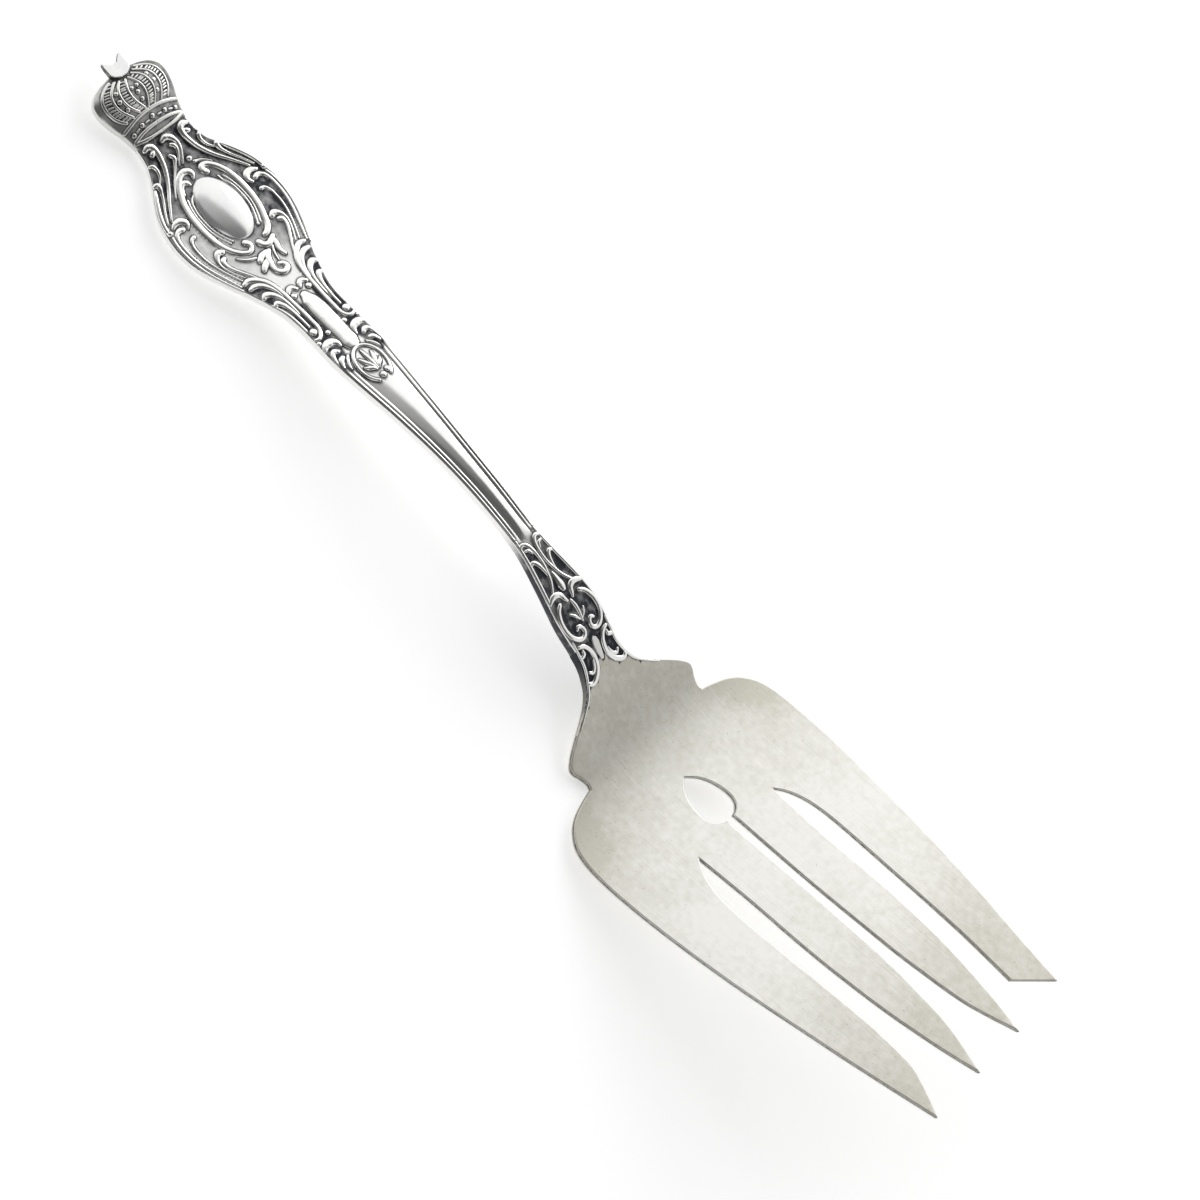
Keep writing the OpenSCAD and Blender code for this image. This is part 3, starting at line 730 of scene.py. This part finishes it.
# Cartouche frame: two long C-scrolls round the boss, each with a curled head, over two thin lines.
# Like all the scroll mounts it is struck silver, soldered to the ground and worn bright on top.
mount_polish = 0.12
mount_finish = silver("mount_finish", bright, oxide, mount_polish)
thin_half_w = 0.17
frame_strokes = [
    stroke([
        (20.6, 2, 0.5), (20.05, 1.65, 0.62), (19.5, 1.75, 0.52), (19.4, 2.5, 0.48), (20, 3.4, 0.48),
        (21.3, 4.35, 0.5), (23, 4.95, 0.52), (26, 5.25, 0.56), (29, 4.95, 0.54), (31, 4.3, 0.52),
        (32.4, 3.65, 0.52), (33.1, 2.9, 0.52), (33.3, 2.15, 0.42),
    ], both=False),
    stroke([
        (20.1, -0.55, 0.3), (19.7, -0.2, 0.42), (19, -0.35, 0.55), (18.6, -1.1, 0.58), (18.8, -2, 0.54),
        (19.6, -3, 0.52), (21.5, -4.2, 0.52), (23, -4.8, 0.56), (26, -5.25, 0.58), (29, -5.1, 0.54),
        (30.6, -4.75, 0.5), (32, -4.15, 0.46), (33.1, -3.35, 0.43), (33.8, -2.5, 0.4), (34.1, -1.7, 0.4),
        (33.8, -1.1, 0.45), (33.1, -0.95, 0.52), (32.6, -1.35, 0.58),
    ], both=False),
    stroke([
        (20.7, -1.65, 0.26), (20.2, -1.9, 0.46), (20, -2.5, 0.46), (20.5, -3.15, 0.36), (21.6, -3.6, 0.2),
    ], both=False),
    stroke([(18.2, 1.45, 0.3), (18.35, 2.1, 0.2), (18.75, 2.9, 0.17), (19.6, 3.9, 0.12)], both=False),
]
for side, head in ((1, (22, 3)), (-1, (22.1, 2))):
    inner_line = [head, (22.8, 3.15), (24, 3.75), (26.4, 4.02), (28.8, 3.75), (31.3, 2.65)]
    outer_line = [(22.4, 3.7), (24, 4.25), (26.4, 4.5), (28.8, 4.25), (31.4, 3.15)]
    for line in (inner_line, outer_line):
        frame_strokes.append(stroke([(s, y * side, thin_half_w) for s, y in line], both=False))
frame_pearls = [(22, -1.95, 0.32, False), (31.4, 2.6, 0.26, False)]
cartouche_frame = mount("frame_scrolls", frame_strokes, frame_pearls)
cartouche_frame.data.materials.append(mount_finish)
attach(cartouche_frame, "root")
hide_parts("cartouche_frame")

# Shoulder scrolls: hooked leaves that fan out from under the crown, with an off-centre curl on the axis.
# They are struck silver, soldered to the ground, and stand higher than the other mounts.
shoulder_strokes = [
    stroke([
        (12.8, 4.3, 0.42), (12.6, 3.65, 0.6), (12.9, 3, 0.62), (13.8, 2.75, 0.52), (15.3, 2.95, 0.46),
        (17, 3.55, 0.42), (19, 4.75, 0.36), (21, 6.3, 0.32), (23.6, 8.2, 0.2),
    ]),
    stroke([(13.55, 3, 0.3), (13.75, 3.4, 0.48), (13.95, 3.75, 0.46)]),
    stroke([
        (15.15, 5.2, 0.32), (15.3, 4.85, 0.4), (15.9, 4.6, 0.34), (16.9, 4.75, 0.27), (17.6, 5.2, 0.22),
        (18.2, 5.8, 0.18),
    ]),
    stroke([
        (17.95, 6.7, 0.38), (18, 6.25, 0.54), (18.55, 6.15, 0.46), (19.3, 6.4, 0.3), (20.5, 7.05, 0.24),
        (22, 8.05, 0.22), (23.7, 9, 0.18),
    ]),
    stroke([
        (18.5, 7, 0.24), (19.2, 7.45, 0.34), (20.2, 8.1, 0.38), (21.7, 8.95, 0.38), (23.2, 9.6, 0.37),
        (24.6, 9.95, 0.34),
    ]),
    stroke([
        (13, -0.95, 0.42), (12.8, -0.25, 0.6), (13.15, 0.5, 0.58), (14.1, 1, 0.44), (15.2, 0.95, 0.38),
        (16.3, 0.4, 0.32), (17.4, -0.35, 0.22),
    ], both=False),
    stroke([
        (14.2, -0.1, 0.38), (14.5, 0.25, 0.4), (15.2, 0.35, 0.32), (16.1, -0.1, 0.26), (17.4, -1, 0.16),
    ], both=False),
    stroke([
        (15.5, -1.35, 0.38), (16.1, -1.05, 0.42), (17, -1.6, 0.3), (18, -2.45, 0.23), (19.6, -3.9, 0.19),
        (21.2, -5.1, 0.15),
    ], both=False),
]
shoulder_pearls = [(24.95, 9.85, 0.45, True), (17.45, 0.95, 0.48, False)]
shoulder = mount("shoulder_leaves", shoulder_strokes, shoulder_pearls, rise=2.2)
shoulder.data.materials.append(mount_finish)
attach(shoulder, "root")
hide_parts("shoulder_scrolls")

# Border scrolls: the double edge of the widest part, with a curled head on each side of the cartouche.
# They are thin struck lines of silver, soldered along the rim of the handle.
border_strokes = [
    stroke([
        (24.55, 8.8, 0.3), (24.15, 7.9, 0.5), (24.2, 7.1, 0.6), (24.7, 6.55, 0.56), (25.3, 6.5, 0.42),
        (25.8, 6.85, 0.24),
    ]),
    stroke([
        (25.5, 7.6, 0.44), (25.35, 8.3, 0.44), (25.7, 9, 0.36), (26.5, 9.4, 0.31), (28.2, 9.6, 0.29),
        (30.2, 9.5, 0.28), (32.5, 8.95, 0.28), (35, 8, 0.27), (37.6, 6.95, 0.2),
    ]),
    stroke([
        (25.6, 9.85, 0.22), (27, 10.15, 0.25), (29, 10.2, 0.25), (31, 9.95, 0.25), (34, 9.1, 0.25),
        (38.2, 7.2, 0.22),
    ]),
    stroke([
        (27.4, 7.05, 0.36), (27.5, 7.6, 0.33), (28.2, 8.1, 0.24), (29.7, 8.3, 0.21), (31.5, 8.15, 0.2),
        (33.3, 7.65, 0.2), (35, 7, 0.18), (36.9, 6.1, 0.14),
    ]),
]
border = mount("border_lines", border_strokes)
border.data.materials.append(mount_finish)
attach(border, "root")
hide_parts("border_scrolls")

# Leaf scrolls: a four-lobed leaf on each side where the handle narrows, struck and soldered down. Its
# spine runs on down the stem and ends in a curl round a pearl.
leaf_strokes = [
    stroke([
        (31.7, 5.2, 0.46), (31.45, 5.85, 0.58), (31.85, 6.5, 0.44), (32.8, 6.95, 0.24), (34.2, 6.75, 0.18),
        (36.8, 5.4, 0.12),
    ]),
    stroke([
        (32.65, 5.8, 0.4), (32.85, 6.2, 0.44), (33.6, 6.3, 0.36), (34.6, 5.95, 0.31), (35.7, 5.3, 0.27),
        (36.9, 4.5, 0.22), (38.2, 3.7, 0.15),
    ]),
    stroke([
        (37.6, 6.4, 0.36), (37.45, 5.5, 0.46), (37.75, 4.75, 0.48), (38.4, 3.95, 0.47), (39.4, 3.2, 0.45),
        (41, 2.7, 0.4), (44, 2.42, 0.37), (48, 2.3, 0.37), (49.5, 2.38, 0.36), (50.4, 2.85, 0.35),
        (50.75, 3.5, 0.33), (50.6, 4.15, 0.27),
    ]),
    stroke([
        (38.75, 6.2, 0.36), (38.7, 5.4, 0.48), (39.05, 4.5, 0.46), (39.9, 3.7, 0.38), (41, 3.15, 0.28),
        (42.5, 2.85, 0.18),
    ]),
    stroke([
        (41, 5.55, 0.4), (40.75, 5, 0.56), (41.05, 4.3, 0.52), (41.8, 3.65, 0.42), (43, 3.2, 0.3),
        (46, 3, 0.16),
    ]),
    stroke([
        (42.9, 4.95, 0.38), (42.75, 4.5, 0.5), (43.2, 4.05, 0.44), (44.3, 3.65, 0.34), (46, 3.42, 0.27),
        (48.4, 3.35, 0.2),
    ]),
    stroke([(42.6, 5.35, 0.18), (44.2, 4.7, 0.25), (46, 4.3, 0.25), (48.7, 4.2, 0.22)]),
]
leaf = mount("leaf_lobes", leaf_strokes, [(49.45, 3.5, 0.6, True)])
leaf.data.materials.append(mount_finish)
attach(leaf, "root")
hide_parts("leaf_scrolls")

# Centre scroll: an off-centre curl with leaf lobes, under the cartouche. It is one small struck piece of
# silver, soldered to the plain ground there.
centre_strokes = [
    stroke([
        (34.15, 3.05, 0.4), (34.55, 2.35, 0.52), (34.75, 1.5, 0.52), (34.35, 0.8, 0.54), (33.75, 0.5, 0.6),
    ], both=False),
    stroke([
        (34.7, 2.95, 0.24), (35.4, 2.65, 0.44), (36.3, 2.3, 0.46), (36.9, 2.35, 0.42), (37.4, 2.5, 0.36),
    ], both=False),
    stroke([(35.3, 1.85, 0.2), (36, 1.45, 0.19), (36.8, 1.15, 0.18), (37.6, 1, 0.15)], both=False),
    stroke([
        (38.15, 0.6, 0.42), (38.5, 1.15, 0.46), (39.2, 1.2, 0.5), (39.55, 0.5, 0.5), (39.15, -0.3, 0.5),
        (38.3, -0.7, 0.5), (37.2, -0.45, 0.54), (36.2, 0.05, 0.5), (35.6, 0.8, 0.36),
    ], both=False),
    stroke([(35.5, 0.3, 0.42), (35.65, -0.7, 0.54), (36.15, -1.65, 0.44)], both=False),
    stroke([(36.8, -0.8, 0.48), (37.2, -1.55, 0.56), (37.65, -2.15, 0.42)], both=False),
    stroke([(33.8, -4.2, 0.15), (34.6, -3.4, 0.26), (35.15, -2.45, 0.28), (35.35, -1.7, 0.2)], both=False),
]
centre = mount("centre_curl", centre_strokes)
centre.data.materials.append(mount_finish)
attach(centre, "root")
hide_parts("centre_scroll")

# Stem panel: a smooth tongue of silver down the middle of the stem, with curled heads above it and
# crescent leaves beside its lower end, all struck and soldered down. The last leaf leads into the reeds.
tongue_strokes = [
    stroke([
        (44.3, 0, 0.85), (45.2, 0, 1.35), (47, 0, 1.62), (50, 0, 1.58), (52.6, 0, 1.45), (53.8, 0, 1.5),
    ], both=False),
]
panel_strokes = [
    stroke([(42.75, 0.35, 0.34), (42.2, 0.8, 0.46), (42.15, 1.4, 0.46), (42.6, 1.95, 0.34)]),
    stroke([
        (52.7, 4.25, 0.4), (52.25, 3.7, 0.62), (52.15, 2.9, 0.7), (52.35, 2.2, 0.62), (52.9, 1.8, 0.42),
        (53.5, 1.7, 0.24),
    ]),
    stroke([
        (53.95, 2.75, 0.38), (53.65, 3.3, 0.5), (53.9, 3.8, 0.42), (54.7, 4.15, 0.3), (55.8, 4.25, 0.2),
    ]),
    stroke([(55.1, 2.95, 0.4), (55.3, 3.4, 0.48), (55.9, 3.75, 0.36), (56.6, 4, 0.22)]),
    stroke([(55.3, 2.05, 0.22), (55.9, 2.6, 0.26), (56.7, 3.05, 0.26), (57.4, 3.2, 0.2)]),
]
panel_pearls = [(43.4, 1.55, 0.48, True), (50.8, 1.75, 0.42, True), (51.35, 4.2, 0.38, True)]
panel = mount("stem_leaves", panel_strokes, panel_pearls)
tongue = mount("stem_tongue", tongue_strokes, rise=1.3, soft=0.3)
for piece in (panel, tongue):
    piece.data.materials.append(mount_finish)
    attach(piece, "root")
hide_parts("stem_panel")

# Stem medallion: an oval ring that is open at one end, round a palmette of five leaves and two pearls.
# It is struck silver, soldered where the stem's reeds begin.
medallion_at = 58.35
medallion_half = (3.25, 2.4)
ring_half_w = 0.3
ring_points = []
for turn in range(28, 333, 10):
    a = math.radians(turn)
    s, y = medallion_at + medallion_half[0] * math.cos(a), medallion_half[1] * math.sin(a)
    ring_points.append((s, y, ring_half_w))
palmette_foot = 59.6
palmette_tips = [(55.9, 0.05), (56.9, 1.25), (56.9, -1.25), (58.4, 1.6), (58.4, -1.6)]
medallion_strokes = [stroke(ring_points, both=False)]
for s, y in palmette_tips:
    near, far = (palmette_foot * 2 + s) / 3, (palmette_foot + s * 2) / 3
    medallion_strokes.append(stroke([
        (palmette_foot, y / 6, 0.16), (near, y / 3, 0.34), (far, y * 0.72, 0.4), (s, y, 0.2),
    ], both=False))
medallion_pearls = [(60.45, 1.05, 0.5, False), (60.8, -0.15, 0.52, False)]
medallion = mount("palmette_oval", medallion_strokes, medallion_pearls, rise=1.5)
medallion.data.materials.append(mount_finish)
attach(medallion, "root")
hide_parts("stem_medallion")

# Neck scrolls: slim leaves of struck silver that spread from the foot of the stem, soldered down, with a
# long drop between them and a raised line along each edge.
neck_strokes = [
    stroke([
        (93.65, 2.05, 0.26), (93.4, 1.5, 0.36), (93.75, 0.9, 0.36), (94.7, 0.5, 0.32), (96.2, 0.35, 0.29),
        (97.7, 0.42, 0.28), (99, 0.72, 0.28), (100.5, 1.2, 0.28), (102.2, 2.3, 0.22),
    ]),
    stroke([(94.4, 1.75, 0.22), (94.55, 1.2, 0.27), (95.3, 0.85, 0.18)]),
    stroke([
        (96.65, 2.25, 0.26), (96.45, 1.8, 0.36), (96.9, 1.35, 0.36), (97.9, 1.02, 0.3), (99.4, 0.85, 0.22),
    ]),
    stroke([(99.3, 0, 0.14), (100.6, 0, 0.46), (101.6, 0, 0.68), (102.2, 0, 0.54)], both=False),
    stroke([(92.4, 1.95, 0.18), (96, 2.36, 0.27), (100, 3.02, 0.3), (103, 3.52, 0.24)]),
]
neck = mount("neck_leaves", neck_strokes)
neck.data.materials.append(mount_finish)
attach(neck, "root")
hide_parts("neck_scrolls")

# Neck medallion: two C-scrolls that close round a dark oval, with a sprig of three leaves inside. They
# are struck silver, soldered over the slot that takes the blade's tang.
oval_strokes = [
    stroke([
        (102.8, 3.3, 0.34), (102.4, 2.5, 0.5), (102.4, 1.7, 0.53), (102.8, 1.1, 0.48), (103.5, 0.85, 0.38),
        (104.1, 0.6, 0.24),
    ]),
    stroke([
        (103.9, 2.1, 0.34), (104.4, 2.75, 0.38), (105.3, 3.3, 0.41), (106.5, 3.6, 0.41),
        (107.9, 3.52, 0.41), (109.1, 3.02, 0.41), (109.85, 2.2, 0.41), (109.95, 1.35, 0.4),
        (109.4, 0.8, 0.38), (108.6, 0.9, 0.35), (108.2, 1.4, 0.33), (108.5, 1.85, 0.26),
    ]),
    stroke([(107.9, -0.1, 0.18), (106.6, 0.1, 0.3), (105.4, 0.15, 0.34), (104.3, -0.05, 0.2)], both=False),
    stroke([(107.5, 0.2, 0.16), (106.9, 0.75, 0.28), (106.3, 1.2, 0.16)], both=False),
    stroke([(107.5, -0.35, 0.16), (106.7, -0.85, 0.28), (106, -1.5, 0.16)], both=False),
]
oval = mount("neck_oval", oval_strokes)
oval.data.materials.append(mount_finish)
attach(oval, "root")
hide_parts("neck_medallion")

# Lap scrolls: curls of struck silver that lap from the neck over the root of the blade and hide the
# soldered joint. A smooth tongue runs out between them, and a fine line follows each edge of the root.
lap_strokes = [
    stroke([
        (110.75, 3.05, 0.3), (110.95, 2.35, 0.36), (111.7, 1.65, 0.38), (112.8, 1.25, 0.4),
        (114, 1.25, 0.42), (115.1, 1.65, 0.45), (116.05, 2.55, 0.48), (116.45, 3.5, 0.46),
        (116.1, 4.15, 0.36),
    ]),
    stroke([(111.45, 2.7, 0.25), (111.95, 2.75, 0.38), (112.2, 3.2, 0.36), (112.05, 3.65, 0.22)]),
    stroke([(113.6, 1.7, 0.16), (114.6, 2.05, 0.3), (115.1, 2.65, 0.34), (114.75, 3.2, 0.24)]),
    stroke([
        (109.6, 3.62, 0.15), (111.5, 3.6, 0.24), (113.5, 3.6, 0.26), (116, 4.35, 0.26),
        (117.6, 5.25, 0.25), (119, 6.8, 0.22), (120.7, 9.1, 0.1),
    ]),
]
root_strokes = [
    stroke([(111, 0.1, 0.5), (111.8, 0.1, 0.7), (113, 0.1, 0.6), (114.2, 0.1, 0.35)], both=False),
]
lap = mount("lap_curls", lap_strokes)
lap.data.materials.append(mount_finish)
root_tongue = mount("root_tongue", root_strokes, rise=0.6, soft=0.25)
root_tongue.data.materials.append(crown_finish)
for piece in (lap, root_tongue):
    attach(piece, "root")
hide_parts("lap_scrolls")

# Solder and patina: solder runs out from under the mounts in a small fillet. The finished fork is then
# darkened in a bath and rubbed bright again, so that the dark stays on the ground close beside the
# mounts and in the grooves between the reeds. Painted shade is written into the same attribute: darker
# side walls at the neck and the root of the blade, and a darker +y side on the crown and round the
# cartouche.
fillet_h = 0.06
fillet_w = 0.22
line_w = (0.1, 0.42)
edge_wear = 0.4
groove_w = 0.11
inner_groove_share = 0.65
groove_rows = [(12, 0.5), (66, 0.55), (78, 1), (112, 1)]
bath_rows = [
    (0, 0.55), (11.5, 0.6), (12.4, 0.98), (20, 0.92), (25, 0.8), (30, 0.75), (34, 0.62), (37, 0.35),
    (40, 0.14), (60, 0.06), (74, 0.1), (82, 0.2), (92, 0.2), (95, 1.1), (110, 1.1), (112, 0.9),
    (115, 0.1), (118, 0), (196, 0),
]
pocket_rows = [
    (0, 0), (36, 0), (38.5, 1), (56.5, 1), (59, 0), (108, 0), (111, 1), (115.5, 1), (117, 0), (196, 0),
]
pocket_edge = [
    (0, 9), (36, 4.5), (40, 3.2), (43, 2.6), (44.2, 1.3), (51, 1.3), (54, 1.6), (58, 2.6), (108, 1.6),
    (196, 1.6),
]
pocket_soft = 0.4
# Painted shade: the patina on the ground of the crown and round the cartouche grows towards +y, so that
# the +y side is darker, as if it were lit less than the -y side.
side_shade_rows = [
    (0, 0.045), (11.4, 0.045), (12.4, 0), (22, 0), (26, 0.036), (35, 0.036), (40, 0), (196, 0),
]
wall_below = 0.25
# Painted shade: the side walls along the neck and the root of the blade are darkened, for the dark
# surroundings they reflect.
wall_shade_rows = [(0, 0), (90, 0), (97, 1), (111, 1), (114, 0.85), (121, 0.5), (124, 0), (196, 0)]
beside = KDTree(len(feet))
for entry, foot_place in enumerate(feet):
    beside.insert(foot_place, entry)
beside.balance()


def groove_shade(s, y):
    """Dark of the two grooves beside the reeds."""
    d = half_handle(s) - abs(y)
    reed_w = at(reed_w_rows, s)
    depth = max(at(reed_rows, s), 0) / reed_h
    outer = math.exp(-((d - reed_w) / groove_w) ** 2)
    inner = math.exp(-((d - 2 * reed_w) / groove_w) ** 2) * inner_groove_share
    return depth * at(groove_rows, s) * max(outer, inner)


def rim_gap(s, y):
    """Distance in from the edge of the crown or the handle."""
    half = half_crown(s) if s < handle_start else half_handle(s)
    return half - abs(y)


def weather(piece, fillet, rubbed, reach, worn_edge=True):
    """Raises the solder fillets on a base piece's upper face and writes its patina, together with painted
    shade on its side walls and on one side of its ground. The share rubbed off grows with the distance
    from the mounts, as far as the reach."""
    patina_and_shade = piece.data.attributes.new("patina_and_shade", "FLOAT", "POINT")
    for v in piece.data.vertices:
        s, y = v.co.x / MM + fork_mid, v.co.y / MM
        # Side walls below the ground get painted shade from the wall rows instead of patina.
        if v.co.z / MM < ground(s) - wall_below:
            patina_and_shade.data[v.index].value = max(at(wall_shade_rows, s), 0)
            continue
        gap = beside.find(v.co)[2] / MM
        pocket = at(pocket_rows, s) * min(max((abs(y) - at(pocket_edge, s)) / pocket_soft, 0), 1)
        # The bath's patina plus the painted shade on one side.
        bath_and_side_shade = at(bath_rows, s) + at(side_shade_rows, s) * y
        left = max(bath_and_side_shade, pocket, 0) * (1 - rubbed * min(gap / reach, 1))
        away = min(max((gap - line_w[0]) / (line_w[1] - line_w[0]), 0), 1)
        dark = max(min(left, 1), (1 - away) ** 2)
        if worn_edge:
            dark *= min(max(rim_gap(s, y) / edge_wear, 0), 1)
            dark = max(dark, groove_shade(s, y))
        patina_and_shade.data[v.index].value = dark
        v.co.z += fillet * math.exp(-((gap / fillet_w) ** 2)) * MM


weather(handle, fillet_h, rubbed=0.4, reach=1.3)
weather(crown, fillet_h / 2, rubbed=0.4, reach=2.6)
weather(blade, fillet=0, rubbed=1, reach=2.2, worn_edge=False)

# Studio: a pale floor under the fork, one large soft lamp and a plain pale sky. The sky is dim overhead
# and behind the camera, but for a window on the tines' side, so that polished silver shows some dark.
floor_half = 4
floor_grey = (0.9, 0.9, 0.9, 1)
floor_glow = 0.5
sky_light = 1.12
sky_dim = 1.02
white = (1, 1, 1, 1)
bm = bmesh.new()
bmesh.ops.create_grid(bm, x_segments=1, y_segments=1, size=floor_half)
floor = made_piece("floor", bm)
floor_paint = bpy.data.materials.new("floor_paint")
floor_paint.use_nodes = True
floor_shader = floor_paint.node_tree.nodes["Principled BSDF"]
floor_start = Value(floor_paint.node_tree)
seen = floor_start.node("LightPath", {}, {}, "Is Camera Ray")
for ray in ("Is Glossy Ray", "Is Transmission Ray"):
    seen = seen + floor_start.node("LightPath", {}, {}, ray)
floor_start.feed(floor_shader.inputs["Base Color"], floor_grey)
floor_start.feed(floor_shader.inputs["Roughness"], 0.9)
floor_start.feed(floor_shader.inputs["Specular IOR Level"], 0)
floor_start.feed(floor_shader.inputs["Emission Color"], white)
floor_start.feed(floor_shader.inputs["Emission Strength"], seen * floor_glow)
floor.data.materials.append(floor_paint)

sky = bpy.data.worlds.new("sky")
sky.use_nodes = True
bpy.context.scene.world = sky
sky_start = Value(sky.node_tree)
gaze = sky_start.node("TexCoord", {}, {}, "Generated")
overhead = Vector((0.141, -0.356, 0.9))
hooded = sky_start.node("VectorMath", {"operation": "DOT_PRODUCT"}, {0: gaze, 1: overhead}, "Value")
ahead = sky_start.node("SeparateXYZ", {}, {"Vector": gaze}, "X")
aside = sky_start.node("SeparateXYZ", {}, {"Vector": gaze}, "Y")
hood = hooded.step(0.585, 0.66) * (ahead.step(-0.6, 0.1) * 0.42 + 0.58)
behind = 1 - aside.step(-0.75, -0.1)
window = (1 - aside.step(-0.75, -0.35)) * ahead.step(0.05, 0.35) * 0.9
shade = (hood + behind).held() * (1 - window) + ahead.step(0.1, 0.6) * 0.3
glow = sky_light - shade.held() * sky_dim
background = sky.node_tree.nodes["Background"]
sky_start.feed(background.inputs["Color"], white)
sky_start.feed(background.inputs["Strength"], glow)

lamp_data = bpy.data.lights.new("soft_lamp", "AREA")
lamp_data.shape = "SQUARE"
lamp_data.size = 0.5
lamp_data.energy = 2
lamp = bpy.data.objects.new("soft_lamp", lamp_data)
lamp.location = (-0.15, 0.9, 0.4)
lamp.rotation_mode = "QUATERNION"
lamp.rotation_quaternion = (-lamp.location).to_track_quat("-Z", "Y")
bpy.context.scene.collection.objects.link(lamp)

camera_data = bpy.data.cameras.new("camera")
camera_data.sensor_width = 36
camera_data.lens = 108
camera = bpy.data.objects.new("camera", camera_data)
camera.location = (-0.02555, -0.26296, 0.4764)
camera_aim = Vector((0.01093, 0.00938, 0))
camera_roll = 57.75
camera.rotation_mode = "QUATERNION"
level = (camera_aim - camera.location).to_track_quat("-Z", "Y")
camera.rotation_quaternion = level @ Quaternion((0, 0, 1), math.radians(camera_roll))
bpy.context.scene.collection.objects.link(camera)
bpy.context.scene.camera = camera
bpy.context.scene.view_settings.view_transform = "Standard"
